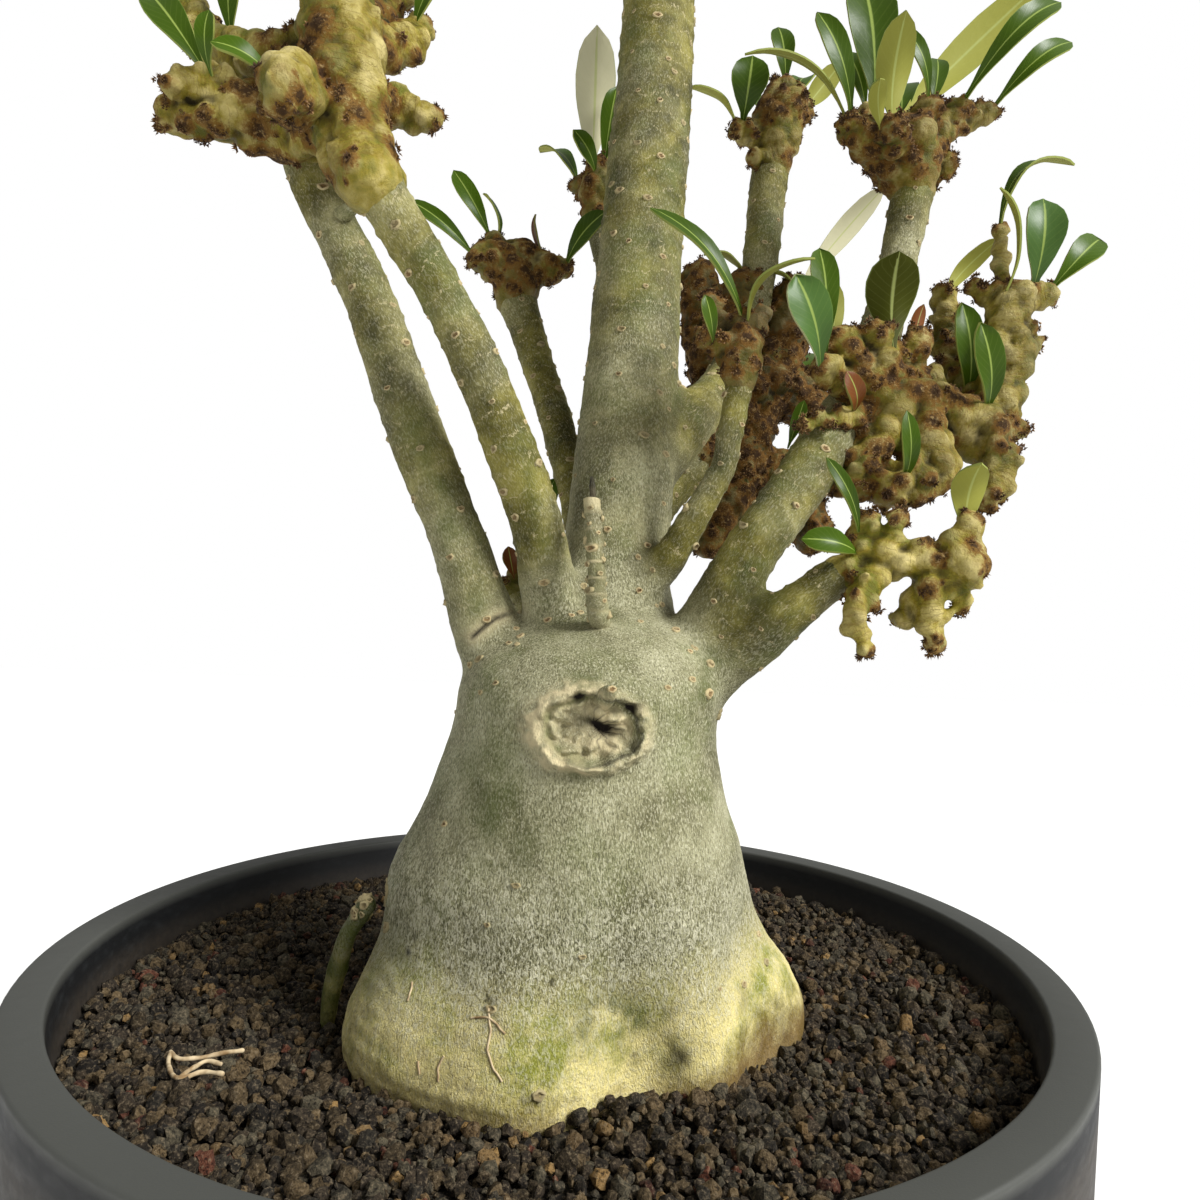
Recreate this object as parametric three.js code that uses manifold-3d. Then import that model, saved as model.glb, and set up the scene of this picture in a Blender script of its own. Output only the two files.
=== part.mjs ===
// A desert rose (adenium) in a round nursery pot, in millimetres, +Z up.
// The origin is the centre of the pot's flat underside. The plant is seen from -Y, with +X to the right.
// The pot is 300 mm across its rim. The swollen base stands a little in front of the pot's centre, and its
// trunk leans back. Every bare branch grows from that one body; the knobby heads are grafted onto the
// branches' ends.
import * as THREE from "three";
import { mergeVertices } from "three/addons/utils/BufferGeometryUtils.js";
import Module from "manifold-3d";

const kernel = await Module();
kernel.setup();

// ---------------------------------------------------------------- driving dimensions

const CLEARANCE = 0.35; // left between two pieces that touch on the real plant

const POT = {
  height: 200,
  rimRadius: 150,
  rimWidth: 10.5,
  rimThickness: 3,
  rimRounding: 1,
  collarHeight: 32,
  collarThickness: 2,
  collarDraft: 1, // the collar is this much narrower at its foot
  wall: 2.5,
  floor: 3,
  floorRadius: 105, // inside, at the bottom
  footChamfer: 2,
  sides: 52,
  drainHoles: 6,
  drainRadius: 6,
  drainCircle: 72,
  drainSides: 10,
};
const mouthRadius = POT.rimRadius - POT.rimWidth;

const SOIL = {
  level: 187,
  clod: 13.5, // a clod's width
  shift: 4, // how far a clod lies from its place in the grid
  grain: 2.2, // how far a clod stands above or below the level
  headroom: 5, // above the level, for the clods
  lowest: POT.floor + CLEARANCE,
};

// Level sections of the swollen base: height, centre x and y, half width, reach to the front and reach to
// the back. The soil's surface is at 187, so the first four sections are buried.
const CAUDEX = {
  sides: 26,
  sections: [
    [148, 7, -34, 16, 16, 16],
    [154, 7, -34, 37, 34, 34],
    [164, 7, -33, 50, 44, 43],
    [176, 7, -32, 55, 48, 46],
    [189, 6.5, -32, 57, 50, 47],
    [196, 6.5, -32, 56.5, 49.5, 46.5],
    [204, 6, -33, 54.5, 47, 44],
    [212, 5, -33.5, 51.5, 44.5, 42],
    [221, 4, -34, 49.5, 43, 40.5],
    [231, 3, -35, 48.5, 42, 39.5],
    [241, 4, -36, 45, 40, 38],
    [251, 4.5, -37, 41, 38.5, 36],
    [262, 5, -37.5, 38, 37, 34],
    [272, 6, -38, 36, 36, 33],
    [282, 8, -38, 36, 35.5, 32],
    [290, 9, -37, 33.5, 31, 29],
    [297, 11, -35, 26, 24, 24],
    [303, 12, -32, 15, 15, 15],
  ],
  // The lobes of the foot: where each points, in degrees from +X towards +Y, its width, and how far it
  // stands out.
  lobes: [
    { towards: 210, width: 28, depth: 9 },
    { towards: 255, width: 16, depth: 5 },
    { towards: 292, width: 17, depth: -11 },
    { towards: 335, width: 14, depth: -6 },
    { towards: 12, width: 26, depth: 9 },
    { towards: 62, width: 20, depth: -5 },
    { towards: 100, width: 24, depth: 6 },
    { towards: 150, width: 20, depth: -4 },
  ],
  lobeHeight: 190, // where the lobes are fullest
  lobeFade: 26, // and how soon they fade above and below it
};

// Stems are lists of stations, [x, y, z, radius]. The first station is sunk in what the stem grows from.
const STEMS = {
  trunk: [
    [14, -36, 276, 22],
    [13, -30, 295, 18.5],
    [13, -25, 313, 16.5],
    [14, -21, 332, 16],
    [16, -14, 368, 15],
    [18, -6, 417, 13.5],
    [20, -2, 451, 13],
    [22, 4, 506, 12],
    [23, 8, 546, 11.5],
  ],
  leftOuter: [
    [-8, -40, 274, 14],
    [-21, -40, 294, 9.5],
    [-29, -42, 317, 8.5],
    [-43, -42, 350, 8],
    [-58, -41, 387, 7.5],
    [-71, -40, 412, 7],
    [-77, -40, 425, 7],
  ],
  leftInner: [
    [6, -37, 286, 11],
    [-4, -42, 305, 8],
    [-9, -49, 327, 7.5],
    [-15, -53, 342, 7],
    [-24, -58, 363, 7],
    [-33, -62, 380, 6.5],
    [-49, -68, 404, 7],
    [-54, -70, 411, 7.5],
  ],
  leftBack: [
    [8, -14, 316, 8],
    [1, 0, 337, 6],
    [-8, 15, 368, 6],
    [-20, 27, 402, 6.5],
    [-24, 30, 413, 7.5],
  ],
  lowBack: [
    [4, -22, 290, 7],
    [-8, -8, 296, 5],
    [-15, 1, 302, 4.5],
    [-18, 4, 306, 4.5],
  ],
  behindTrunk: [
    [18, -8, 342, 6],
    [18, 11, 364, 5.5],
    [14, 24, 399, 6],
    [7, 36, 436, 6],
    [4, 38, 447, 6],
  ],
  backRight: [
    [22, -14, 350, 12],
    [34, -8, 363, 9.5],
    [42, 2, 373, 7.5],
    [51, 22, 387, 7.5],
    [60, 40, 410, 7.5],
    [65, 48, 436, 7],
    [69, 54, 475, 7.5],
  ],
  shaded: [
    [14, -14, 294, 11],
    [17, 6, 320, 9],
    [27, 20, 342, 8.5],
    [38, 30, 356, 8.5],
  ],
  small: [
    [16, -34, 304, 7],
    [27, -40, 317, 5],
    [35, -44, 331, 4.5],
    [41, -46, 342, 4],
    [43, -47, 355, 4],
    [45, -46, 365, 4.5],
  ],
  right: [
    [28, -36, 278, 12],
    [37, -42, 296, 9],
    [49, -48, 320, 8],
    [60, -44, 335, 8],
    [71, -36, 352, 8],
    [87, -14, 375, 7.5],
    [100, 2, 408, 6.5],
    [105, 8, 426, 6.5],
    [110, 12, 449, 7.5],
  ],
  rightLow: [
    [32, -40, 277, 10],
    [42, -46, 288, 7],
    [52, -50, 296, 6.5],
    [59, -53, 304, 6.5],
    [66, -54, 310, 6],
    [70, -54, 313, 6],
  ],
};

// Short growths of the same body: dead stubs, the knot in the wound, the green side shoot by the foot.
const STUBS = {
  deadTwig: [
    [9, -50, 292, 4.5],
    [9, -59, 300, 3.4],
    [8, -58, 315, 2.9],
    [7, -55, 331, 2.7],
    [7, -54, 337, 1.2],
  ],
  deadLeft: [
    [-70, -40, 408, 3],
    [-64, -46, 409, 2.4],
    [-61, -48, 410, 1.8],
  ],
  greenShoot: [
    [-48, -34, 176, 3],
    [-59, -34, 181, 2.4],
    [-64, -34, 192, 2.2],
    [-63, -36, 204, 2.2],
    [-58, -42, 215, 2.4],
    [-49, -46, 223, 2.6],
  ],
};

const WOUND = {
  centre: [8, -74, 274],
  across: 14,
  tall: 9.5,
  lip: 2.4,
  bend: 36, // the radius of the trunk that it lies round
  hollow: [9, 5.5], // half width and half height of the rotten middle
  knot: { at: [12, -74.5, 283], radius: 2.6 },
};

// Roots run out and down from the foot: direction in degrees, reach and depth.
const ROOTS = {
  start: [6, -34, 166],
  radius: 8,
  tip: 2.5,
  runs: [
    { towards: 20, reach: 62, drop: 96 },
    { towards: 95, reach: 96, drop: 92 },
    { towards: 165, reach: 66, drop: 108 },
    { towards: 235, reach: 34, drop: 74 },
    { towards: 310, reach: 40, drop: 118 },
  ],
};

// Each head: the stem that carries it, the spacing of its knobs, its fleshy arms as stations, and its
// leaves. A leaf runs from one point to another, and faces says which way its upper side looks.
const HEADS = {
  head_left: {
    knob: 7.5,
    arms: [
      [[-57, -67, 415, 9.5], [-60, -68, 440, 11.5], [-63, -66, 454, 10.5], [-66, -62, 467, 7.5]],
      [[-66, -68, 426, 7], [-68, -80, 422, 9], [-67, -87, 418, 7]],
      [[-64, -62, 423, 8.5], [-79, -56, 427, 9.5], [-91, -61, 426, 8], [-105, -62, 425, 5.5]],
      [[-57, -60, 433, 7.5], [-48, -56, 432, 6], [-40, -54, 431, 5.5]],
      [[-56, -60, 445, 7.5], [-49, -54, 450, 6.5], [-44, -50, 458, 4.5]],
      [[-70, -60, 442, 8], [-87, -54, 445, 7.5], [-101, -48, 453, 6.5], [-119, -38, 479, 5]],
      [[-86, -60, 430, 7], [-97, -66, 432, 6], [-101, -70, 428, 4]],
      [[-58, -54, 456, 7], [-48, -46, 477, 5.5]],
    ],
    leaves: [
      { from: [-93, -66, 432], to: [-112, -62, 457], width: 9, faces: "front", bow: 4 },
      { from: [-91, -70, 431], to: [-90, -75, 444], width: 5, faces: "front", bow: 3 },
      { from: [-75, -70, 429], to: [-87, -80, 433], width: 6, faces: "front", bow: 3 },
      { from: [-95, -50, 451], to: [-97, -46, 479], width: 8, faces: "front", bow: 4 },
      { from: [-46, -52, 455], to: [-37, -50, 473], width: 7, faces: "front", bow: 4 },
      { from: [-53, -51, 458], to: [-56, -47, 481], width: 7, faces: "back", bow: 3 },
      { from: [-67, -62, 466], to: [-80, -66, 490], width: 8, faces: "front", bow: 5 },
      { from: [-64, -60, 468], to: [-62, -50, 504], width: 10, faces: "back", bow: 5 },
      { from: [-49, -47, 477], to: [-37, -40, 504], width: 8, faces: "front", bow: 4 },
      { from: [-66, -70, 452], to: [-76, -85, 458], width: 7, faces: "front", bow: 4 },
      { from: [-117, -38, 478], to: [-135, -34, 504], width: 9, faces: "back", bow: 5 },
      { from: [-119, -36, 480], to: [-116, -22, 518], width: 10, faces: "front", bow: 4 },
    ],
  },
  head_middle: {
    knob: 5,
    arms: [
      [[-25, 30, 414, 8.5], [-24, 30, 426, 9.5], [-22, 30, 431, 7]],
      [[-26, 30, 424, 8], [-33, 26, 426, 7.5], [-39, 24, 426, 5]],
      [[-31, 28, 427, 7], [-33, 30, 436, 4.5]],
      [[-22, 30, 426, 8], [-14, 30, 426, 6.5], [-7, 30, 426, 4.5]],
    ],
    leaves: [
      { from: [-38, 24, 425], to: [-61, 16, 442], width: 6, faces: "front", bow: 4 },
      { from: [-34, 30, 435], to: [-48, 26, 458], width: 7, faces: "front", bow: 3 },
      { from: [-32, 30, 434], to: [-38, 32, 453], width: 5, faces: "right", bow: 3 },
      { from: [-14, 31, 429], to: [-19, 34, 447], width: 4, faces: "left", bow: 2 },
      { from: [-7, 29, 426], to: [7, 19, 442], width: 8, faces: "front", bow: 4 },
      { from: [-8, 33, 428], to: [1, 45, 455], width: 5, faces: "back", bow: 3 },
    ],
  },
  head_low_back: {
    knob: 4.5,
    arms: [
      [[-17, 4, 304, 4.5], [-20, 6, 310, 5], [-18, 8, 316, 3.5]],
      [[-19, 7, 312, 4], [-15, 9, 326, 2.5]],
      [[-20, 6, 308, 4], [-25, 5, 311, 3]],
    ],
    leaves: [{ from: [-15, 9, 324], to: [-7, 8, 347], width: 7, faces: "front", bow: 2 }],
  },
  head_behind_trunk: {
    knob: 5,
    arms: [
      [[4, 38, 448, 6.5], [4, 38, 457, 8], [3, 36, 467, 5.5]],
      [[4, 38, 457, 6], [9, 47, 469, 6]],
      [[4, 38, 455, 6], [-4, 42, 462, 4.5]],
    ],
    leaves: [
      { from: [1, 34, 464], to: [1, 30, 515], width: 15, faces: "back", bow: 6 },
      { from: [5, 36, 464], to: [9, 34, 495], width: 8, faces: "front", bow: 4 },
      { from: [2, 34, 462], to: [-6, 24, 473], width: 7, faces: "front", bow: 3 },
      { from: [8, 46, 468], to: [15, 62, 496], width: 10, faces: "up", bow: 5 },
      { from: [-4, 42, 461], to: [-20, 56, 482], width: 9, faces: "up", bow: 5 },
    ],
  },
  head_back_right: {
    knob: 6,
    arms: [
      [[69, 54, 476, 8], [71, 54, 488, 10], [73, 54, 499, 11], [75, 54, 508, 7.5]],
      [[68, 54, 488, 7], [60, 50, 489, 6], [55, 48, 489, 5]],
      [[70, 52, 482, 5], [61, 46, 477, 4]],
      [[74, 54, 494, 7], [82, 56, 502, 5]],
      [[72, 56, 494, 7], [70, 66, 500, 5.5]],
    ],
    leaves: [
      { from: [57, 48, 491], to: [59, 40, 512], width: 14, faces: "front", bow: 4 },
      { from: [74, 54, 508], to: [71, 56, 534], width: 9, faces: "front", bow: 4 },
      { from: [82, 57, 502], to: [98, 64, 526], width: 9, faces: "back", bow: 3 },
      { from: [55, 48, 490], to: [35, 40, 499], width: 7, faces: "up", bow: 4 },
      { from: [70, 66, 499], to: [60, 84, 522], width: 11, faces: "up", bow: 5 },
      { from: [78, 60, 503], to: [88, 80, 528], width: 10, faces: "up", bow: 5 },
    ],
  },
  head_upper_right: {
    knob: 6.5,
    arms: [
      [[110, 12, 450, 8.5], [108, 11, 457, 12.5], [105, 10, 465, 14]],
      [[99, 8, 461, 8.5], [90, 4, 462, 7], [85, 2, 466, 5]],
      [[99, 14, 466, 7.5], [96, 20, 480, 5]],
      [[100, 2, 459, 7], [97, -7, 460, 5.5]],
      [[108, 8, 464, 8], [113, 6, 475, 5.5]],
      [[112, 12, 463, 8], [122, 14, 473, 6.5], [126, 14, 479, 5.5]],
      [[123, 14, 474, 5.5], [132, 16, 477, 5], [137, 16, 479, 4.5]],
      [[114, 14, 457, 7], [122, 12, 459, 5]],
      [[106, 14, 466, 8], [110, 26, 478, 6]],
    ],
    leaves: [
      { from: [85, 2, 466], to: [48, -16, 476], width: 5, faces: "up", bow: 8 },
      { from: [86, 2, 467], to: [72, -6, 497], width: 9, faces: "front", bow: 5 },
      { from: [98, 18, 477], to: [95, 26, 531], width: 18, faces: "front", bow: 6 },
      { from: [96, 20, 479], to: [90, 30, 508], width: 8, faces: "front", bow: 4 },
      { from: [97, -7, 460], to: [98, -14, 493], width: 12, faces: "back", bow: 6 },
      { from: [94, -6, 458], to: [89, -19, 468], width: 6, faces: "back", bow: 3 },
      { from: [106, 20, 476], to: [164, 32, 540], width: 14, faces: "back", bow: 10 },
      { from: [112, 5, 475], to: [101, 0, 497], width: 6, faces: "front", bow: 5 },
      { from: [114, 7, 474], to: [118, 14, 496], width: 7, faces: "front", bow: 3 },
      { from: [126, 14, 479], to: [155, 4, 510], width: 9, faces: "front", bow: 12 },
      { from: [137, 16, 479], to: [163, 12, 502], width: 8, faces: "front", bow: 8 },
      { from: [110, 26, 477], to: [116, 50, 508], width: 13, faces: "up", bow: 6 },
    ],
  },
  head_small: {
    knob: 5,
    arms: [
      [[45, -46, 366, 5], [45, -46, 374, 7], [45, -44, 383, 5]],
      [[43, -46, 375, 5], [35, -48, 377, 3.5]],
      [[47, -43, 378, 4.5], [52, -37, 388, 3.5]],
      [[42, -42, 379, 4.5], [37, -37, 391, 3]],
    ],
    leaves: [
      { from: [46, -45, 381], to: [19, -50, 411], width: 6, faces: "up", bow: 10 },
      { from: [47, -46, 378], to: [62, -57, 396], width: 6, faces: "up", bow: 7 },
      { from: [37, -49, 375], to: [34, -53, 387], width: 4, faces: "front", bow: 2 },
    ],
  },
  head_shaded: {
    knob: 9,
    arms: [
      [[38, 30, 358, 9.5], [47, 40, 378, 13], [69, 50, 390, 14], [84, 50, 387, 11]],
      [[52, 44, 386, 11], [47, 42, 402, 11], [41, 40, 430, 7]],
      [[50, 44, 412, 9.5], [61, 46, 428, 9]],
      [[69, 50, 392, 11], [75, 52, 410, 11], [80, 50, 430, 7.5]],
      [[64, 50, 384, 11], [60, 46, 364, 12], [55, 42, 346, 10.5], [48, 40, 329, 7.5]],
      [[62, 46, 362, 9.5], [78, 46, 354, 10.5], [88, 45, 333, 8]],
      [[57, 43, 346, 8.5], [67, 41, 337, 6.5]],
      [[82, 50, 387, 9], [94, 44, 370, 9], [96, 42, 353, 7.5]],
    ],
    leaves: [
      { from: [80, 50, 428], to: [115, 58, 474], width: 9, faces: "back", bow: 7 },
      { from: [60, 46, 431], to: [43, 38, 436], width: 7, faces: "up", bow: 3 },
      { from: [62, 46, 431], to: [78, 44, 428], width: 6, faces: "up", bow: 3 },
      { from: [76, 40, 366], to: [80, 33, 382], width: 5, faces: "front", bow: 2 },
      { from: [66, 56, 399], to: [52, 78, 420], width: 12, faces: "up", bow: 5 },
      { from: [86, 58, 392], to: [98, 80, 412], width: 12, faces: "up", bow: 5 },
    ],
  },
  head_right: {
    knob: 8,
    arms: [
      [[82, -32, 360, 8], [92, -33, 366, 11], [104, -32, 361, 9.5], [119, -32, 357, 8.5]],
      [[84, -33, 366, 7.5], [77, -36, 376, 7.5], [74, -38, 382, 5.5]],
      [[87, -34, 369, 8], [85, -38, 383, 6]],
      [[93, -32, 370, 7.5], [97, -34, 384, 5]],
      [[96, -29, 369, 7], [105, -25, 374, 5], [109, -23, 370, 4]],
      [[80, -37, 368, 6], [68, -42, 372, 5]],
      [[80, -37, 360, 5], [70, -44, 357, 3.5], [62, -46, 355, 2]],
      [[118, -31, 357, 8.5], [124, -28, 370, 7.5], [125, -28, 385, 8.5], [128, -28, 399, 7]],
      [[125, -28, 384, 6], [134, -26, 385, 3.5]],
      [[127, -28, 397, 5.5], [138, -26, 401, 4]],
      [[125, -27, 396, 5], [117, -24, 403, 3.5]],
      [[125, -25, 400, 3.8], [125, -22, 421, 2.6]],
      [[118, -28, 360, 7], [117, -16, 374, 7], [116, -8, 389, 6.5], [116, -4, 408, 5]],
      [[117, -35, 354, 7], [121, -38, 346, 6], [115, -40, 337, 4]],
      [[119, -33, 356, 6], [128, -32, 359, 3.5]],
      [[100, -36, 357, 8], [98, -40, 347, 8], [85, -43, 341, 5.5]],
      [[88, -35, 358, 7], [83, -37, 350, 7], [78, -42, 340, 4.5]],
    ],
    leaves: [
      { from: [88, -41, 378], to: [87, -47, 403], width: 15, faces: "back", bow: 4 },
      { from: [67, -44, 371], to: [58, -51, 394], width: 12, faces: "front", bow: 4 },
      { from: [69, -41, 374], to: [68, -35, 408], width: 8, faces: "front", bow: 5 },
      { from: [73, -38, 380], to: [75, -30, 400], width: 6, faces: "back", bow: 3 },
      { from: [97, -34, 382], to: [105, -25, 412], width: 6, faces: "back", bow: 3 },
      { from: [78, -38, 359], to: [71, -51, 370], width: 5, faces: "front", bow: 3 },
      { from: [90, -43, 340], to: [88, -53, 358], width: 5, faces: "front", bow: 5 },
      { from: [117, -33, 362], to: [110, -45, 385], width: 9, faces: "front", bow: 4 },
      { from: [117, -18, 368], to: [112, -27, 397], width: 9, faces: "front", bow: 5 },
      { from: [123, -32, 399], to: [118, -38, 426], width: 5, faces: "right", bow: 4 },
      { from: [134, -28, 401], to: [138, -30, 428], width: 12, faces: "front", bow: 4 },
      { from: [125, -22, 419], to: [147, -22, 442], width: 7, faces: "up", bow: 10 },
      { from: [116, -4, 407], to: [134, -2, 428], width: 6, faces: "back", bow: 6 },
      { from: [138, -25, 401], to: [156, -20, 420], width: 9, faces: "front", bow: 5 },
    ],
  },
  head_hanging: {
    knob: 6,
    arms: [
      [[71, -54, 314, 6.5], [79, -56, 318, 6], [89, -59, 318, 6.5], [99, -60, 315, 6]],
      [[78, -56, 318, 5.5], [77, -56, 328, 5]],
      [[82, -58, 318, 4.5], [84, -60, 329, 3]],
      [[79, -58, 315, 5], [74, -64, 308, 5], [72, -66, 303, 4.5], [75, -66, 295, 2.5]],
      [[96, -60, 317, 6], [101, -60, 323, 6.5], [103, -60, 328, 5]],
      [[98, -60, 315, 6], [102, -63, 318, 6]],
      [[93, -60, 314, 5.5], [92, -58, 308, 6], [94, -58, 302, 5], [95, -58, 297, 3]],
      [[92, -57, 309, 5], [88, -54, 303, 4]],
      [[98, -60, 312, 4.5], [102, -58, 307, 3]],
      [[76, -54, 316, 5.5], [82, -46, 319, 5.5]],
    ],
    leaves: [
      { from: [101, -62, 324], to: [102, -67, 342], width: 9, faces: "back", bow: 4 },
      { from: [75, -57, 319], to: [59, -64, 322], width: 7, faces: "front", bow: 3 },
      { from: [75, -57, 324], to: [65, -62, 343], width: 4, faces: "front", bow: 4 },
    ],
  },
};

// The crown is the trunk's own head. Its arms and leaves are placed round the trunk by rule.
const CROWN = {
  core: [[23, 8, 547, 12], [23, 8, 560, 13.5], [24, 8, 574, 9]],
  knob: 8,
  arms: 5,
  armReach: 24,
  armRise: 18,
  armRadius: 8,
  rootOffset: 4, // how far from the core's axis an arm begins
  riseShares: [0.7, 0.1], // the first arm's share of armRise, and what each later one adds
  leavesPerArm: 2,
  leafSpread: 1.1, // between an arm's leaves, in radians
  leafReach: 24,
  leafRise: 34,
  leafDroop: 0.25, // how much lower each later leaf of an arm reaches
  leafWidth: 12,
  leafBow: 4,
};

const ROOTLETS = {
  radius: 0.8,
  lift: 1.6, // above the soil's level; the higher clods are pressed in under them
  runs: [
    [[-94.2, -60.8], [-90.4, -64.3], [-83.1, -61.4], [-76.9, -59.5]],
    [[-94.2, -60.8], [-91.5, -67.5], [-86.1, -73.4], [-82, -70.1], [-77.2, -70.9]],
    [[-86.1, -73.4], [-83.9, -64.4], [-79.7, -65.2]],
  ],
};

const COLOURS = {
  pot: { color: 0x2e2f31, roughness: 0.55 },
  soil: { color: 0x3a322b, roughness: 0.95 },
  bark: { color: 0x9c9f84, roughness: 0.75 },
  head: { color: 0x8f8a4f, roughness: 0.7 },
  dryRoot: { color: 0xb59a6c, roughness: 0.9 },
};

// ---------------------------------------------------------------- solids

// A closed geometry as a solid that can be joined and cut.
function solid(geometry) {
  const bare = geometry.index ? geometry.toNonIndexed() : geometry.clone();
  bare.deleteAttribute("normal");
  bare.deleteAttribute("uv");
  const merged = mergeVertices(bare, 1e-3);
  return new kernel.Manifold(
    new kernel.Mesh({
      numProp: 3,
      vertProperties: merged.attributes.position.array,
      triVerts: new Uint32Array(merged.index.array),
    }),
  );
}

function fuse(pieces) {
  return pieces.reduce((whole, piece) => whole.add(piece));
}

// The largest body of a solid: cutting may leave a loose scrap beside it.
function largest(whole) {
  return whole.decompose().reduce((best, body) => (body.volume() > best.volume() ? body : best));
}

function node(name, shape, finish) {
  const cut = shape.getMesh();
  const geometry = new THREE.BufferGeometry()
    .setAttribute("position", new THREE.BufferAttribute(new Float32Array(cut.vertProperties), 3))
    .setIndex(new THREE.BufferAttribute(new Uint32Array(cut.triVerts), 1));
  geometry.computeVertexNormals();
  const mesh = new THREE.Mesh(geometry, new THREE.MeshStandardMaterial({ ...finish, metalness: 0 }));
  mesh.name = name;
  return mesh;
}

// The same draws every time, so that the plant grows the same way.
function seeded(seed) {
  let state = seed;
  return () => {
    state = (state * 1664525 + 1013904223) % 4294967296;
    return state / 4294967296;
  };
}

// A round stem along a smooth curve through its stations. swell says how many times its radius a point
// stands out, by its ring and its side.
function stem(stations, { sides = 8, steps = 8, grow = 0, swell = () => 1 } = {}) {
  const curve = new THREE.CatmullRomCurve3(
    stations.map(([x, y, z]) => new THREE.Vector3(x, y, z)),
    false,
    "centripetal",
  );
  const frames = curve.computeFrenetFrames(steps);
  const last = stations.length - 1;
  const radiusAt = (share) => {
    const along = curve.getUtoTmapping(share) * last;
    const i = Math.min(Math.floor(along), last - 1);
    return THREE.MathUtils.lerp(stations[i][3], stations[i + 1][3], along - i);
  };
  const geometry = new THREE.CylinderGeometry(1, 1, 1, sides, steps);
  const place = geometry.getAttribute("position");
  for (let i = 0; i < place.count; i++) {
    const ring = Math.round((place.getY(i) + 0.5) * steps);
    const share = ring / steps;
    const turn = Math.atan2(place.getX(i), place.getZ(i)) / (2 * Math.PI);
    const side = Math.round(turn * sides + sides) % sides;
    const radius = radiusAt(share) * swell(ring, side);
    const point = curve
      .getPointAt(share)
      .addScaledVector(frames.normals[ring], place.getX(i) * (radius + grow))
      .addScaledVector(frames.binormals[ring], -place.getZ(i) * (radius + grow));
    if (ring === 0) point.addScaledVector(frames.tangents[0], -grow);
    if (ring === steps) point.addScaledVector(frames.tangents[steps], grow);
    place.setXYZ(i, point.x, point.y, point.z);
  }
  return solid(geometry);
}

// ---------------------------------------------------------------- pot

// The inside radius of the tapered wall at a height.
function insideRadius(height) {
  return THREE.MathUtils.mapLinear(height, POT.floor, POT.height, POT.floorRadius, mouthRadius);
}

function pot() {
  const { height, rimRadius, rimThickness, rimRounding, collarThickness, collarDraft, wall, floor } = POT;
  const underRim = height - rimThickness;
  const collarFoot = height - POT.collarHeight;
  const outside = (z) => insideRadius(z) + wall;
  const profile = [
    [0, 0],
    [outside(0) - POT.footChamfer, 0],
    [outside(0), POT.footChamfer],
    [outside(collarFoot), collarFoot],
    [outside(underRim), underRim],
    [rimRadius - collarThickness, underRim],
    [rimRadius - collarThickness - collarDraft, collarFoot],
    [rimRadius - collarDraft, collarFoot],
    [rimRadius, height - rimRounding],
    [rimRadius - rimRounding, height],
    [mouthRadius + rimRounding, height],
    [mouthRadius, height - rimRounding],
    [insideRadius(floor), floor],
    [0, floor],
  ].map(([r, z]) => new THREE.Vector2(r, z));
  const shell = solid(new THREE.LatheGeometry(profile, POT.sides).rotateX(Math.PI / 2));
  const { drainHoles, drainRadius, drainCircle, drainSides } = POT;
  const holes = Array.from({ length: drainHoles }, (_, i) => {
    const angle = ((i + 0.5) / drainHoles) * 2 * Math.PI;
    const hole = new THREE.CylinderGeometry(drainRadius, drainRadius, 3 * floor, drainSides);
    const at = [Math.cos(angle) * drainCircle, Math.sin(angle) * drainCircle, 0];
    return solid(hole.rotateX(Math.PI / 2).translate(...at));
  });
  return shell.subtract(fuse(holes));
}

// ---------------------------------------------------------------- caudex and stems

// How far the foot's lobes push the surface out, at an angle in degrees and a height.
function lobeAt(degrees, height) {
  const fade = Math.exp(-(((height - CAUDEX.lobeHeight) / CAUDEX.lobeFade) ** 2));
  return CAUDEX.lobes.reduce((sum, { towards, width, depth }) => {
    const away = ((degrees - towards + 540) % 360) - 180;
    return sum + depth * fade * Math.exp(-((away / width) ** 2));
  }, 0);
}

function caudex(grow = 0) {
  const { sections, sides } = CAUDEX;
  const steps = sections.length - 1;
  const geometry = new THREE.CylinderGeometry(1, 1, 1, sides, steps).rotateX(Math.PI / 2);
  const place = geometry.getAttribute("position");
  for (let i = 0; i < place.count; i++) {
    const [z, cx, cy, half, front, back] = sections[Math.round((place.getZ(i) + 0.5) * steps)];
    const [dx, dy] = [place.getX(i), place.getY(i)];
    if (dx === 0 && dy === 0) {
      place.setXYZ(i, cx, cy, z + Math.sign(place.getZ(i)) * grow);
      continue;
    }
    const deep = dy < 0 ? front : back;
    const reach = (half * deep) / Math.hypot(deep * dx, half * dy);
    const degrees = THREE.MathUtils.radToDeg(Math.atan2(dy, dx));
    const out = reach + lobeAt((degrees + 360) % 360, z) + grow;
    place.setXYZ(i, cx + dx * out, cy + dy * out, z);
  }
  return solid(geometry);
}

function roots(grow = 0) {
  const [x, y, z] = ROOTS.start;
  return ROOTS.runs.map(({ towards, reach, drop }) => {
    const angle = THREE.MathUtils.degToRad(towards);
    const at = (share, fall, radius) => [
      x + Math.cos(angle) * reach * share,
      y + Math.sin(angle) * reach * share,
      z - drop * fall,
      radius,
    ];
    const { radius, tip } = ROOTS;
    const stations = [at(0.15, 0, radius), at(0.6, 0.25, radius * 0.8), at(1, 1, tip)];
    return stem(stations, { sides: 5, steps: 4, grow });
  });
}

// The callused wound: a raised lip round a shallow rotten hollow, with a knot on it. It bends round the
// trunk.
function woundPlace(geometry) {
  const placed = geometry.rotateX(Math.PI / 2).translate(...WOUND.centre);
  const place = placed.getAttribute("position");
  for (let i = 0; i < place.count; i++) {
    place.setY(i, place.getY(i) + (place.getX(i) - WOUND.centre[0]) ** 2 / (2 * WOUND.bend));
  }
  return placed;
}

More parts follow.
